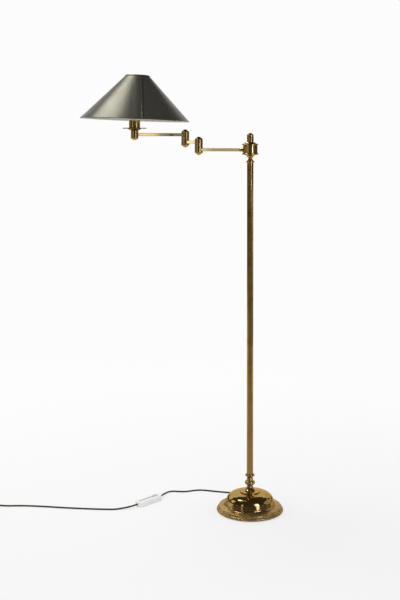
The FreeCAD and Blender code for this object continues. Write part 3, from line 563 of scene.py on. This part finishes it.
def felt_material():
    material, tree, shader = new_material("green_felt")
    coords = object_coords(tree)
    fibres = noise_value(tree, coords, 900.0, 5.0, 0.7)
    clumps = noise_value(tree, coords, 120.0, 4.0)
    colour = mixed(tree, ranged(tree, fibres, 0.3, 0.7), (0.018, 0.034, 0.02), (0.05, 0.085, 0.05))
    colour = mixed(tree, ranged(tree, clumps, 0.4, 0.75, 0.0, 0.5), colour, (0.014, 0.026, 0.016))
    tree.links.new(colour, shader.inputs["Base Color"])
    tree.links.new(bumped(tree, fibres, 0.0005, 0.9), shader.inputs["Normal"])
    shader.inputs["Roughness"].default_value = 0.95
    shader.inputs["Sheen Weight"].default_value = 0.3
    return material


def card_material(name, colour, dark, rough, gloss_level):
    """Lacquered card: faint fibres under a satin coat, scuffs that change the gloss, a painted shadow at the
    lap.
    """
    material, tree, shader = new_material(name)
    coords = object_coords(tree)
    fibres = noise_value(tree, object_coords(tree, (1.0, 1.0, 0.35)), 380.0, 4.0, 0.65)
    clouds = noise_value(tree, coords, 16.0, 5.0, 0.6)
    scuffs = noise_value(tree, object_coords(tree, (1.0, 1.0, 2.2)), 75.0, 6.0, 0.7)
    seam_shadow = add_node(tree, "Attribute", {"attribute_name": "seam_painted_shadow"})
    base = mixed(tree, ranged(tree, clouds, 0.3, 0.72), colour, dark)
    # Painted shadow: near black on the under sheet beside the lap's lifted edge
    base = mixed(tree, seam_shadow.outputs["Fac"], base, (0.004, 0.004, 0.003))
    base = mixed(tree, ranged(tree, scuffs, 0.62, 0.8, 0.0, 0.3), base, (0.085, 0.083, 0.07))
    tree.links.new(base, shader.inputs["Base Color"])
    gloss = ranged(tree, clouds, 0.3, 0.75, rough, rough + 0.06)
    gloss = maths(tree, "ADD", gloss, ranged(tree, scuffs, 0.55, 0.8, 0.0, 0.08))
    tree.links.new(gloss, shader.inputs["Roughness"])
    normal = bumped(tree, fibres, 0.00003, 0.3)
    tree.links.new(bumped(tree, clouds, 0.0006, 0.15, normal), shader.inputs["Normal"])
    shader.inputs["Specular IOR Level"].default_value = gloss_level
    shader.inputs["Specular Tint"].default_value = (1.0, 0.935, 0.66, 1.0)
    return material


def glass_material():
    """Opal bulb glass: milky, glossy and faintly uneven."""
    material, tree, shader = new_material("opal_glass")
    coords = object_coords(tree)
    haze = noise_value(tree, coords, 45.0, 4.0)
    tree.links.new(mixed(tree, haze, (0.9, 0.89, 0.86), (0.83, 0.82, 0.79)), shader.inputs["Base Color"])
    tree.links.new(ranged(tree, haze, 0.3, 0.7, 0.12, 0.2), shader.inputs["Roughness"])
    tree.links.new(bumped(tree, haze, 0.0002, 0.2), shader.inputs["Normal"])
    shader.inputs["Coat Weight"].default_value = 0.3
    shader.inputs["Subsurface Weight"].default_value = 0.15
    shader.inputs["Subsurface Radius"].default_value = (0.004, 0.004, 0.004)
    return material


MATERIALS = {
    "polished_brass": brass_material(
        "turned_brass", BRASS, DULL_BRASS, (0.07, 0.13), 0.25, ROUND_LINES, 1300.0, 0.15, 0.00004, 0.15
    ),
    "zinc_steel": metal_material("zinc_plate", (0.56, 0.57, 0.55), (0.42, 0.42, 0.4), 0.28),
    "cast_iron": metal_material("rough_iron", (0.06, 0.06, 0.06), (0.03, 0.028, 0.026), 0.6),
    "felt": felt_material(),
    "nylon": plastic_material("washer_nylon", (0.72, 0.7, 0.62), (0.64, 0.62, 0.54), 0.42),
    "shade_card": card_material("black_card", (0.0355, 0.036, 0.0325), (0.028, 0.0285, 0.026), 0.33, 1.0),
    "carrier_wire": plastic_material("wire_enamel", (0.78, 0.77, 0.72), (0.66, 0.64, 0.58), 0.3),
    "bakelite": plastic_material("black_phenolic", (0.022, 0.018, 0.015), (0.012, 0.01, 0.008), 0.2),
    "bulb_cap": metal_material("bulb_collar", (0.72, 0.72, 0.73), (0.6, 0.6, 0.6), 0.22),
    "bulb_glass": glass_material(),
    "lead": plastic_material("inner_lead", (0.62, 0.61, 0.57), (0.5, 0.49, 0.46), 0.45),
    "cord_brown": plastic_material(
        "brown_flex", (0.054, 0.031, 0.018), (0.036, 0.02, 0.012), 0.42, specular=0.2
    ),
    "plug_pins": metal_material("nickel_pins", (0.72, 0.7, 0.64), (0.58, 0.56, 0.5), 0.16),
    "dimmer_white": dimmer_material(),
    "tie": plastic_material("black_nylon", (0.02, 0.02, 0.02), (0.012, 0.012, 0.012), 0.4),
}

# Brass nodes whose finish differs from that of the turned pieces; the dark dish and edge brass is painted
# shade
SHELL_BRASS = brass_material(
    "spun_brass", BRASS, DULL_BRASS, (0.06, 0.15), 0.6, ROUND_LINES, 900.0, 0.7, 0.0004,
    haze=0.17, grime_and_shade=0.3,
)
TUBE_BRASS = brass_material(
    "tube_brass", BRASS, DULL_BRASS, (0.1, 0.2), 0.75, UPRIGHT_LINES, 1000.0, 0.25, 0.00006,
    foot=FOOT_BRASS,
)
BAR_BRASS = brass_material(
    "bar_brass", PALE_BRASS, BRASS, (0.04, 0.07), 0.5, BAR_LINES, 1200.0, 0.3, 0.00003, 0.12
)
# Painted shade: dark copies of the brass for the drip dish and its rolled edge, seen from below in shade
SHADED_DISH_BRASS = brass_material(
    "shaded_dish", (0.2, 0.105, 0.04), (0.1, 0.055, 0.025), (0.2, 0.3), 0.5, ROUND_LINES, 1300.0, 0.3, 0.00005
)
SHADED_EDGE_BRASS = brass_material(
    "shaded_edge", (0.085, 0.075, 0.062), (0.05, 0.045, 0.04), (0.35, 0.45), 0.5, ROUND_LINES, 1300.0, 0.3,
    0.00005,
)
NODE_FINISHES_AND_SHADE = {"pole_tube": TUBE_BRASS, "drip_dish": SHADED_DISH_BRASS}


def dress_cad_nodes():
    """Each carried-over node takes the material of its slot in the record, or its own brass: a finish, or
    painted shade for the drip dish.
    """
    for part in frame["record"]["subparts"]:
        piece = nodes[part["node"]]
        material = NODE_FINISHES_AND_SHADE.get(part["node"], MATERIALS[part["material_slot"]])
        for slot in piece.material_slots:
            slot.material = material


# Camera, floor and lights


def make_camera():
    data = bpy.data.cameras.new("camera")
    data.lens = LENS_MM
    data.sensor_width = SENSOR_MM
    data.shift_y = CAMERA_SHIFT
    camera = add_object("camera", data)
    camera.location = CAMERA_AT
    camera.rotation_euler = (math.radians(90.0 - CAMERA_DOWN_DEG), 0.0, 0.0)
    scene.camera = camera


def seen_factor(tree):
    """1 for rays from the camera and for what mirrors and glass show, and 0 for the light on things."""
    path = add_node(tree, "LightPath")
    shown = maths(tree, "MAXIMUM", path.outputs["Is Camera Ray"], path.outputs["Is Glossy Ray"])
    return maths(tree, "MAXIMUM", shown, path.outputs["Is Transmission Ray"])


def plain_stage_object(name, verts, faces, material):
    piece = mesh_object(name, verts, faces, smooth=False)
    piece.data.materials.append(material)
    return piece


def mirror_only(piece):
    """A panel or a dark wall beyond the picture: polished metal shows it, and nothing else sees it."""
    piece.visible_camera = False
    piece.visible_transmission = False
    piece.visible_diffuse = False
    piece.visible_shadow = False


def make_floor():
    """White paper: real near the lamp, with its shadow and painted light falloff; further out plain white."""
    material, tree, shader = new_material("studio_paper")
    tree.nodes.remove(shader)
    output = tree.nodes["Material Output"]
    coords = add_node(tree, "TexCoord")
    apart = add_node(tree, "VectorMath", {"operation": "DISTANCE"})
    tree.links.new(coords.outputs["Object"], apart.inputs[0])
    apart.inputs[1].default_value = PAPER_CENTRE
    seen = seen_factor(tree)
    share = ranged(tree, apart.outputs["Value"], 0.5, 1.6, FLOOR_MATTE_SHARE, 0.0)
    share = maths(tree, "MAXIMUM", share, maths(tree, "SUBTRACT", 1.0, seen))
    matte = add_node(tree, "BsdfDiffuse", Color=PAPER_WHITE)
    place = add_node(tree, "SeparateXYZ", Vector=coords.outputs["Object"])
    # Painted light falloff: the glow near the lamp is darker towards the front and towards the right
    level = ranged(tree, place.outputs["Y"], -0.5, 1.0, 0.935, 0.985)
    level = maths(tree, "MULTIPLY", level, ranged(tree, place.outputs["X"], -0.2, 0.5, 1.008, 0.99))
    near = ranged(tree, place.outputs["Y"], 0.4, 2.4, 1.0, 0.0)
    far_level = maths(tree, "MULTIPLY", maths(tree, "SUBTRACT", 1.0, near), BACKDROP)
    level = maths(tree, "ADD", maths(tree, "MULTIPLY", near, level), far_level)
    glow = add_node(tree, "Emission", Strength=maths(tree, "MULTIPLY", seen, level))
    both = add_node(tree, "MixShader")
    tree.links.new(share, both.inputs[0])
    tree.links.new(glow.outputs[0], both.inputs[1])
    tree.links.new(matte.outputs[0], both.inputs[2])
    tree.links.new(both.outputs[0], output.inputs["Surface"])
    corners = [
        (PAPER_LEFT, PAPER_FRONT, 0.0),
        (PAPER_RIGHT, PAPER_FRONT, 0.0),
        (PAPER_RIGHT, PAPER_BACK, 0.0),
        (PAPER_LEFT, PAPER_BACK, 0.0),
    ]
    plain_stage_object("paper_floor", corners, [(0, 1, 2, 3)], material)


def dark_material():
    material, tree, shader = new_material("dark_room")
    coords = add_node(tree, "TexCoord")
    cloth = noise_value(tree, coords.outputs["Object"], 3.0, 3.0)
    apart = add_node(tree, "SeparateXYZ", Vector=coords.outputs["Object"])
    foot = ranged(tree, apart.outputs["Z"], 0.0, ROOM_FOOT_TOP, 1.0, 0.0)
    wall = mixed(tree, cloth, ROOM_DARKEST, ROOM_LIGHTEST)
    tree.links.new(mixed(tree, foot, wall, ROOM_FOOT), shader.inputs["Base Color"])
    shader.inputs["Roughness"].default_value = 0.9
    shader.inputs["Specular IOR Level"].default_value = 0.0
    return material


def around(azimuth_deg, distance, height):
    """A point at an azimuth from -Y towards +X, a distance from the pole and a height, in metres."""
    azimuth = math.radians(azimuth_deg)
    return (distance * math.sin(azimuth), -distance * math.cos(azimuth), height)


def make_dark_room():
    """The unlit room round the camera's side of the lamp, its ceiling and the dim front of the paper."""
    dark = dark_material()
    verts = []
    faces = []
    for first, last, top in ROOM_PARTS:
        start = len(verts)
        for index in range(ROOM_STEPS + 1):
            azimuth = first + (last - first) * index / ROOM_STEPS
            verts += [around(azimuth, ROOM_RADIUS, -0.01), around(azimuth, ROOM_RADIUS, top)]
        for low in range(start, start + 2 * ROOM_STEPS, 2):
            faces.append((low, low + 2, low + 3, low + 1))
    wall = plain_stage_object("dark_wall", verts, faces, dark)
    half = ROOM_RADIUS
    corners = [(-half, -half), (half, -half), (half, CEILING_BACK), (-half, CEILING_BACK)]
    ceiling = plain_stage_object("dark_ceiling", [(x, y, ROOM_TOP) for x, y in corners], [(0, 1, 2, 3)], dark)

    # The light falls off over the front of the paper, which only the brass shows
    veil_material, tree, shader = new_material("dim_front")
    tree.nodes.remove(shader)
    coords = add_node(tree, "TexCoord")
    apart = add_node(tree, "SeparateXYZ", Vector=coords.outputs["Object"])
    depth = maths(tree, "POWER", ranged(tree, apart.outputs["Y"], VEIL_START, VEIL_END), VEIL_POWER)
    clear = add_node(tree, "BsdfTransparent")
    dim = add_node(tree, "Emission", Color=VEIL_GLOW + (1.0,))
    both = add_node(tree, "MixShader", Fac=depth)
    tree.links.new(clear.outputs[0], both.inputs[1])
    tree.links.new(dim.outputs[0], both.inputs[2])
    tree.links.new(both.outputs[0], tree.nodes["Material Output"].inputs["Surface"])
    corners = [(-half, -half), (half, -half), (half, VEIL_START), (-half, VEIL_START)]
    sheet = [(x, y, VEIL_HEIGHT) for x, y in corners]
    veil = plain_stage_object("dim_paper_front", sheet, [(0, 1, 2, 3)], veil_material)
    for piece in (wall, ceiling, veil):
        mirror_only(piece)


def make_panel(name, azimuths, low, high, radiance, fades, tone):
    """One of PANELS, whose columns are the arguments."""
    material, tree, shader = new_material(name)
    tree.nodes.remove(shader)
    coords = add_node(tree, "TexCoord")
    apart = add_node(tree, "SeparateXYZ", Vector=coords.outputs["Object"])
    rising = ranged(tree, apart.outputs["Z"], low[1], low[1] + fades[0], 0.0, radiance)
    falling = ranged(tree, apart.outputs["Z"], high[1] - fades[1], high[1], 1.0, 0.0)
    strength = maths(tree, "MULTIPLY", rising, falling)
    glow = add_node(tree, "Emission", Color=tone + (1.0,), Strength=strength)
    tree.links.new(glow.outputs[0], tree.nodes["Material Output"].inputs["Surface"])
    verts = []
    for index in range(PANEL_STEPS + 1):
        azimuth = azimuths[0] + (azimuths[1] - azimuths[0]) * index / PANEL_STEPS
        verts += [around(azimuth, *low), around(azimuth, *high)]
    faces = [(2 * i, 2 * i + 2, 2 * i + 3, 2 * i + 1) for i in range(PANEL_STEPS)]
    panel = plain_stage_object(name, verts, faces, material)
    mirror_only(panel)


def make_area_light(name, at, towards, size, strength):
    """Softbox of the given radiance that faces a point."""
    data = bpy.data.lights.new(name, "AREA")
    data.shape = "RECTANGLE"
    data.size, data.size_y = size
    data.energy = strength * math.pi * size[0] * size[1]
    lamp = add_object(name, data)
    lamp.location = at
    heading = Vector(towards) - Vector(at)
    lamp.rotation_euler = heading.to_track_quat("-Z", "Y").to_euler()
    lamp.visible_camera = False


def make_lights():
    make_area_light("key_softbox", KEY_AT, KEY_TOWARDS, KEY_SIZE, KEY_RADIANCE)
    for panel in PANELS:
        make_panel(*panel)
    world = bpy.data.worlds.new("studio")
    scene.world = world
    world.use_nodes = True
    tree = world.node_tree
    background = tree.nodes["Background"]
    strength = ranged(tree, seen_factor(tree), 0.0, 1.0, AMBIENT, 1.0)
    tree.links.new(strength, background.inputs["Strength"])
    background.inputs["Color"].default_value = (BACKDROP, BACKDROP, BACKDROP, 1.0)


# Cords


def spline_curve(name, points, radius):
    """Round cord on a smooth NURBS line with the given control points, in millimetres."""
    curve = bpy.data.curves.new(name, "CURVE")
    curve.dimensions = "3D"
    curve.bevel_depth = radius * MM
    curve.bevel_resolution = 6
    curve.use_fill_caps = True
    spline = curve.splines.new("NURBS")
    spline.points.add(len(points) - 1)
    for control, place in zip(spline.points, points):
        control.co = (place[0] * MM, place[1] * MM, place[2] * MM, 1.0)
    spline.order_u = 3
    spline.use_endpoint_u = True
    spline.resolution_u = 12
    return add_object(name, curve)


def coil_point(turn):
    """Centre of the coiled cord after so many turns: in on the floor, out one layer up."""
    middle = COIL_TURNS / 2
    away = abs(turn - middle)
    steps_out = 2 * away ** 2 if away < 0.25 else away - 0.125
    radius = (COIL_IN_R + COIL_PITCH * steps_out) / math.cos(math.pi / COIL_STEPS_PER_TURN) ** 2
    climb = min(max((turn - middle + 0.25) / 0.5, 0.0), 1.0)
    height = COIL_FLOOR_Z + COIL_PITCH * (3 - 2 * climb) * climb ** 2
    angle = math.radians(COIL_START_DEG + 360 * turn)
    return (COIL_CENTRE[0] + radius * math.cos(angle), COIL_CENTRE[1] + radius * math.sin(angle), height)


def make_cords():
    flex = MATERIALS["cord_brown"]
    near = spline_curve("flex_to_dimmer", NEAR_ROUTE, CORD_R)
    steps = int(COIL_TURNS * COIL_STEPS_PER_TURN)
    coil = [coil_point(index / COIL_STEPS_PER_TURN) for index in range(steps + 1)]
    far = spline_curve("flex_to_plug", FAR_ROUTE + coil + LEAD_OUT, CORD_R)
    for piece in (near, far):
        dress(piece, "stand", flex)
    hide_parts("cord_near")
    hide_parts("cord_far", "cord_coil")
    return near, far


def along_exit(radius, height, angle):
    """A point turned about the cord's exit line, its axial height measured out from the pole."""
    heading = math.radians(GLAND_AZIMUTH)
    out = Vector((math.cos(heading), math.sin(heading), 0.0))
    side = Vector((-math.sin(heading), math.cos(heading), 0.0))
    across = side * math.cos(angle) + Vector((0.0, 0.0, 1.0)) * math.sin(angle)
    return out * height + across * radius + Vector((0.0, 0.0, GLAND_HEIGHT))


def ribbed_sleeve(first, ribs, pitch, thick, thin):
    """Outline of a tapering sleeve with rounded ribs, from a distance along the cord."""
    points = []
    for index in range(ribs):
        start = first + pitch * index
        outer = thick - (thick - thin) * index / (ribs - 1)
        points += [(outer - 0.75, start - 0.5), (outer, start)]
        points += [(outer - 0.1, start + 1.7), (outer - 0.85, start + 2.1)]
    return points


def make_gland():
    """Ribbed strain relief: a flange against the base and a tapering, ribbed sleeve."""
    points = [(0.0, 95.5), (4.6, 95.5), (4.6, 97.1), (4.0, 98.1), (4.0, 104.2), (6.0, 104.2), (6.2, 104.8)]
    points += [(6.0, 105.8), (5.2, 106.8)]
    points += ribbed_sleeve(108.0, 6, 3.0, 4.75, 3.55)
    points += [(3.1, 127.0), (2.9, 128.0), (2.5, 128.0), (0.0, 128.0)]
    gland = turned_mesh("strain_relief", points, 40, lambda place, r, h, a: along_exit(r, h, a))
    sharpen(gland, 50.0)
    dress(gland, "stand", MATERIALS["cord_brown"])
    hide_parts("cord_gland")
    return gland


def make_plug_relief(cord):
    """Tapering ribbed sleeve on the last of the cord, along its own line, where it enters the plug."""
    line = cord.copy()
    line.data = cord.data.copy()
    line.data.bevel_depth = 0.0
    mesh = bpy.data.meshes.new_from_object(line)
    path = [vertex.co.copy() / MM for vertex in mesh.vertices][::-1]
    bpy.data.objects.remove(line)
    bpy.data.meshes.remove(mesh)
    travelled = [0.0]
    for first, second in zip(path, path[1:]):
        travelled.append(travelled[-1] + (second - first).length)

    def at(distance):
        index = 1
        while travelled[index] < distance:
            index += 1
        share = (distance - travelled[index - 1]) / (travelled[index] - travelled[index - 1])
        return path[index - 1].lerp(path[index], share), (path[index] - path[index - 1]).normalized()

    points = [(2.5, 0.2), (4.9, 0.2)]
    points += ribbed_sleeve(1.2, 6, 3.2, 4.9, 3.5)
    points += [(3.0, 21.5), (2.9, 22.4), (2.5, 22.4)]

    def follow(place, radius, distance, angle):
        centre, along = at(distance)
        side = along.cross(Vector((0.0, 0.0, 1.0))).normalized()
        upward = side.cross(along)
        return centre + side * (radius * math.cos(angle)) + upward * (radius * math.sin(angle))

    relief = turned_mesh("plug_relief", points, 32, follow)
    sharpen(relief, 50.0)
    dress(relief, "stand", MATERIALS["cord_brown"])
    return relief


# Base


def front_degrees(angle):
    """Azimuth from the front in degrees, -180 to 180, of a turned piece's angle."""
    return (math.degrees(angle) + 90.0 + 180.0) % 360.0 - 180.0


def make_base_shell():
    """The spun dome and its rolled rim, with the knocks that the rim has taken."""
    dice = random.Random(KNOCK_SEED)
    knocks = list(RIM_KNOCKS)
    azimuth = KNOCKS_FROM
    while azimuth < KNOCKS_TO:
        knocks.append(((azimuth + 180.0) % 360.0 - 180.0, dice.uniform(0.3, 0.8), dice.uniform(1.2, 3.0)))
        azimuth += dice.uniform(9.0, 30.0)
    points = outline(SHELL_OUTLINE[0], *SHELL_OUTLINE[1:], spacing=1.3)
    points = [(99.6, 3.0), (99.6, 1.2)] + points + [(8.0, 58.8)]

    def knocked(place, radius, height, angle):
        here = front_degrees(angle)
        dent = 0.0
        for middle, depth, half in knocks:
            away = abs((here - middle + 180.0) % 360.0 - 180.0) / half
            if away < 1.6:
                dent += depth * math.exp(-3.0 * away * away)
        rim = (1.0 - smoothstep(7.5, 13.0, height)) * smoothstep(95.0, 98.0, radius)
        wave = noise.noise(Vector((3.5 * math.cos(angle), 3.5 * math.sin(angle), 4.0)))
        small = noise.noise(place * 0.045 + Vector((7.0, 0.0, 0.0)))
        pull = rim * (dent + 0.25 * wave) + 0.12 * small * (1.0 - rim)
        scale = (radius - pull) / radius
        lift = rim * 0.22 * wave * smoothstep(1.3, 4.0, height)
        return Vector((place.x * scale, place.y * scale, place.z + lift))

    shell = turned_mesh("spun_base", points, SHELL_SEGMENTS, knocked)
    sharpen(shell, 50.0)
    dress(shell, "stand", SHELL_BRASS)
    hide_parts("base_shell")


# Shade and lampholder


def in_shade(point):
    """From the shade's own leaning frame, in millimetres about its carrier, to the object's."""
    lean = Matrix.Rotation(math.radians(SHADE_LEAN_DEG), 3, "Y")
    return lean @ Vector(point) + Vector((SOCKET[0] + SHADE_SHIFT, SOCKET[1], CARRIER_Z))


def on_cone(front_deg, share, outward=0.0):
    """A point on the shade's outer face: share is 0 at the rim and 1 at the top."""
    angle = math.radians(front_deg - 90.0)
    slant = math.hypot(SHADE_RIM_R - SHADE_TOP_R, SHADE_H)
    radius = SHADE_RIM_R + (SHADE_TOP_R - SHADE_RIM_R) * share + outward * SHADE_H / slant
    height = SHADE_RIM_Z + SHADE_H * share + outward * (SHADE_RIM_R - SHADE_TOP_R) / slant
    return (SHADE_TOP_OFF_CENTRE * share + radius * math.cos(angle), radius * math.sin(angle), height)


def seam_degrees(share):
    """Azimuth of the card's outer edge, which stands nearly upright in front."""
    radius = SHADE_RIM_R + (SHADE_TOP_R - SHADE_RIM_R) * share
    return math.degrees(math.asin((SEAM_SIDE[0] + (SEAM_SIDE[1] - SEAM_SIDE[0]) * share) / radius))


def make_shade():
    """One sheet of card rolled into a cone, its end lapped over its start, with its edge lifting low down."""
    rows = CARD_ROWS
    columns = CARD_COLUMNS
    verts = []
    seam_shadow_values = []
    for row in range(rows + 1):
        share = row / rows
        radius = SHADE_RIM_R + (SHADE_TOP_R - SHADE_RIM_R) * share
        lap = math.degrees(SEAM_LAP / radius)
        ease = 2.2 * lap
        for column in range(columns + 1):
            along = column / columns
            turn = -lap + (360.0 + lap) * along
            outward = SHADE_CARD * smoothstep(360.0 - lap - ease, 360.0 - lap, turn)
            edge = min(max((turn - 360.0 + SEAM_LIP * lap) / (SEAM_LIP * lap), 0.0), 1.0)
            outward += SEAM_LIFT * edge * edge * (1.0 - 0.85 * smoothstep(0.0, 0.85, share))
            around_cone = math.radians(turn)
            wobble = Vector((2.2 * math.cos(around_cone), 2.2 * math.sin(around_cone), 1.6 * share))
            outward += CARD_WOBBLE * noise.noise(wobble)
            verts.append(in_shade(on_cone(seam_degrees(share) + turn, share, outward)) * MM)
            # Painted shadow on the under sheet beside the lap's free edge, fading out from 2.2 to 4.4 mm away
            from_edge = math.radians(turn) * radius
            seam_shadow_values.append(1.0 - smoothstep(2.2, 4.4, from_edge) if from_edge > -SEAM_LAP else 1.0)
    faces = []
    for row in range(rows):
        for column in range(columns):
            low = row * (columns + 1) + column
            faces.append((low, low + 1, low + columns + 2, low + columns + 1))
    card = mesh_object("rolled_card", verts, faces)
    seam_shadow = card.data.attributes.new("seam_painted_shadow", "FLOAT", "POINT")
    seam_shadow.data.foreach_set("value", seam_shadow_values)
    thicken = card.modifiers.new("card", "SOLIDIFY")
    thicken.thickness = SHADE_CARD * MM
    thicken.offset = -1.0
    thicken.use_rim = True
    thicken.material_offset = 1
    dress(card, "outer_swing", MATERIALS["shade_card"])
    lining = card_material("pale_lining", (0.78, 0.74, 0.64), (0.68, 0.63, 0.53), 0.5, 0.4)
    card.data.materials.append(lining)
    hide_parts("shade_cone")


def shade_band(name, share_low, share_high, tape, wrap):
    """Tape folded over an edge of the shade: an outer and an inner strip joined round the edge."""
    section = []
    outer = TAPE_T + SHADE_CARD
    inner = -SHADE_CARD - TAPE_T
    for index in range(TAPE_STEPS + 1):
        section.append((share_high + (share_low - share_high) * index / TAPE_STEPS, outer))
    section.append((share_low - wrap, (outer + inner) / 2))
    for index in range(TAPE_STEPS + 1):
        section.append((share_low + (share_high - share_low) * index / TAPE_STEPS, inner))
    verts = []
    for segment in range(TAPE_SEGMENTS):
        degrees = 360.0 * segment / TAPE_SEGMENTS
        for share, outward in section:
            wander = 0.0008 * noise.noise(Vector((segment * 0.21, share * 40.0, 2.0)))
            verts.append(in_shade(on_cone(degrees, share + wander, outward)) * MM)
    band = mesh_object(name, verts, ring_faces(TAPE_SEGMENTS, len(section)))
    dress(band, "outer_swing", tape)


def make_lampholder():
    """Phenolic holder with its rolled outer thread, and the two knurled rings that clamp the carrier."""
    profile = list(HOLDER_FOOT)
    height = THREAD_LOW
    while height < THREAD_HIGH:
        profile.append((THREAD_R, height))
        height += THREAD_ROW
    profile += HOLDER_MOUTH

    def at_socket(radius, height, angle):
        return Vector((radius * math.cos(angle) + SOCKET[0], radius * math.sin(angle) + SOCKET[1], height))

    def threaded(place, radius, height, angle):
        if radius == THREAD_R and THREAD_LOW - 0.2 < height < THREAD_HIGH + 0.2:
            phase = (height / THREAD_PITCH - angle / math.tau) % 1.0
            radius += THREAD_DEPTH * (1.0 - abs(2.0 * phase - 1.0))
        return at_socket(radius, height, angle)

    def knurled(place, radius, height, angle):
        if radius > RING_R - 0.5:
            radius -= KNURL_DEPTH * (0.5 + 0.5 * math.cos(KNURLS * angle))
        return at_socket(radius, height, angle)

    holder = turned_mesh("threaded_holder", profile, 96, threaded)
    sharpen(holder, 40.0)
    ivory = plastic_material("ivory_phenolic", (0.74, 0.7, 0.6), (0.66, 0.62, 0.52), 0.3)
    dress(holder, "outer_swing", ivory)
    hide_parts("lampholder")

    lean = math.sin(math.radians(SHADE_LEAN_DEG))
    spread = CARRIER_HALF_T + (RING_R + SHADE_SHIFT) * lean + RING_CLEARANCE
    for name, low in (("lower_ring", CARRIER_Z - spread - RING_T), ("upper_ring", CARRIER_Z + spread)):
        high = low + RING_T
        section = [
            (RING_IN_R, low),
            (RING_R - RING_EDGE, low),
            (RING_R, low + 0.7),
            (RING_R, high - 0.7),
            (RING_R - RING_EDGE, high),
            (RING_IN_R, high),
        ]
        ring = turned_mesh(name, section, 480, knurled, closed=True)
        sharpen(ring, 50.0)
        dress(ring, "outer_swing", MATERIALS["bakelite"])
        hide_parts("shade_rings")


def make_dish_bead():
    """The dish's rolled edge."""
    section = []
    middle = (DISH_R - BEAD_R, DISH_EDGE_Z + BEAD_RISE)
    for index in range(BEAD_POINTS):
        angle = math.tau * index / BEAD_POINTS
        section.append((middle[0] + BEAD_R * math.cos(angle), middle[1] + BEAD_R * math.sin(angle)))
    shift = Vector((SOCKET[0], SOCKET[1], 0.0))
    bead = turned_mesh("dish_bead", section, 144, lambda place, r, h, a: place + shift, closed=True)
    # The rolled edge takes dark brass as painted shade
    dress(bead, "outer_swing", SHADED_EDGE_BRASS)


# Arms


def make_arm_bar(name, node, body, start, end, level):
    """Square tube with rolled corners between two (x, y) points, in millimetres."""
    along = Vector((end[0] - start[0], end[1] - start[1], 0.0))
    length = along.length
    along.normalize()
    side = Vector((along.y, -along.x, 0.0))
    section = []
    inner = BAR_HALF - BAR_CORNER_R
    flat = BAR_HALF / 9.0
    for corner in range(4):
        middle = math.radians(45.0 + 90.0 * corner)
        across = inner * math.copysign(1.0, math.cos(middle))
        upward = inner * math.copysign(1.0, math.sin(middle))
        arc = []
        for step in range(BAR_ARC_STEPS + 1):
            angle = middle + math.radians(-45.0 + 90.0 * step / BAR_ARC_STEPS)
            arc.append((across + BAR_CORNER_R * math.cos(angle), upward + BAR_CORNER_R * math.sin(angle)))
        before = middle - math.radians(45.0)
        after = middle + math.radians(45.0)
        first = (arc[0][0] + flat * math.sin(before), arc[0][1] - flat * math.cos(before))
        last = (arc[-1][0] - flat * math.sin(after), arc[-1][1] + flat * math.cos(after))
        section += [first] + arc + [last]
    count = len(section)
    verts = []
    for row in range(BAR_ROWS + 1):
        centre = Vector((start[0], start[1], level)) + along * (length * row / BAR_ROWS)
        for across, upward in section:
            worn = BAR_WEAR * noise.noise(Vector((row * 0.6, across * 0.2, upward * 0.2)))
            verts.append((centre + side * (across + worn) + Vector((0.0, 0.0, upward + worn))) * MM)
    faces = []
    for row in range(BAR_ROWS):
        here = row * count
        ahead = here + count
        for index in range(count):
            beside = (index + 1) % count
            faces.append((here + index, here + beside, ahead + beside, ahead + index))
    bar = mesh_object(name, verts, faces)
    sharpen(bar, 40.0)
    dress(bar, body, BAR_BRASS)
    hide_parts(node)


def between(first, second, first_gap, second_gap):
    """The ends of a bar that starts and stops short of two points."""
    span = math.dist(first, second)
    unit = ((second[0] - first[0]) / span, (second[1] - first[1]) / span)
    start = (first[0] + unit[0] * first_gap, first[1] + unit[1] * first_gap)
    end = (second[0] - unit[0] * second_gap, second[1] - unit[1] * second_gap)
    return start, end


def make_arm_bars():
    inner = between((0.0, 0.0), ELBOW_1, HUB_GAP, ELBOW_GAP)
    link = between(ELBOW_1, ELBOW_2, ELBOW_GAP, ELBOW_GAP)
    outer = between(ELBOW_2, SOCKET, ELBOW_GAP, COLUMN_GAP)
    make_arm_bar("inner_tube", "inner_arm", "inner_swing", *inner, ARM_LEVEL)
    make_arm_bar("link_tube", "link_bar", "link_swing", *link, ARM_LEVEL + LEVEL_STEP)
    make_arm_bar("outer_tube", "outer_arm", "outer_swing", *outer, ARM_LEVEL + 2 * LEVEL_STEP)


dress_cad_nodes()
make_camera()
near_cord, far_cord = make_cords()
gland = make_gland()
plug_relief = make_plug_relief(far_cord)
make_floor()
make_dark_room()
make_lights()
make_base_shell()
make_shade()
edge_tape = card_material("edge_tape", (0.06, 0.052, 0.038), (0.035, 0.03, 0.022), 0.3, 0.9)
shade_band("bottom_binding", 0.0, 0.014, edge_tape, 0.001)
shade_band("top_binding", 1.0, 0.98, edge_tape, -0.001)
make_lampholder()
make_dish_bead()
make_arm_bars()
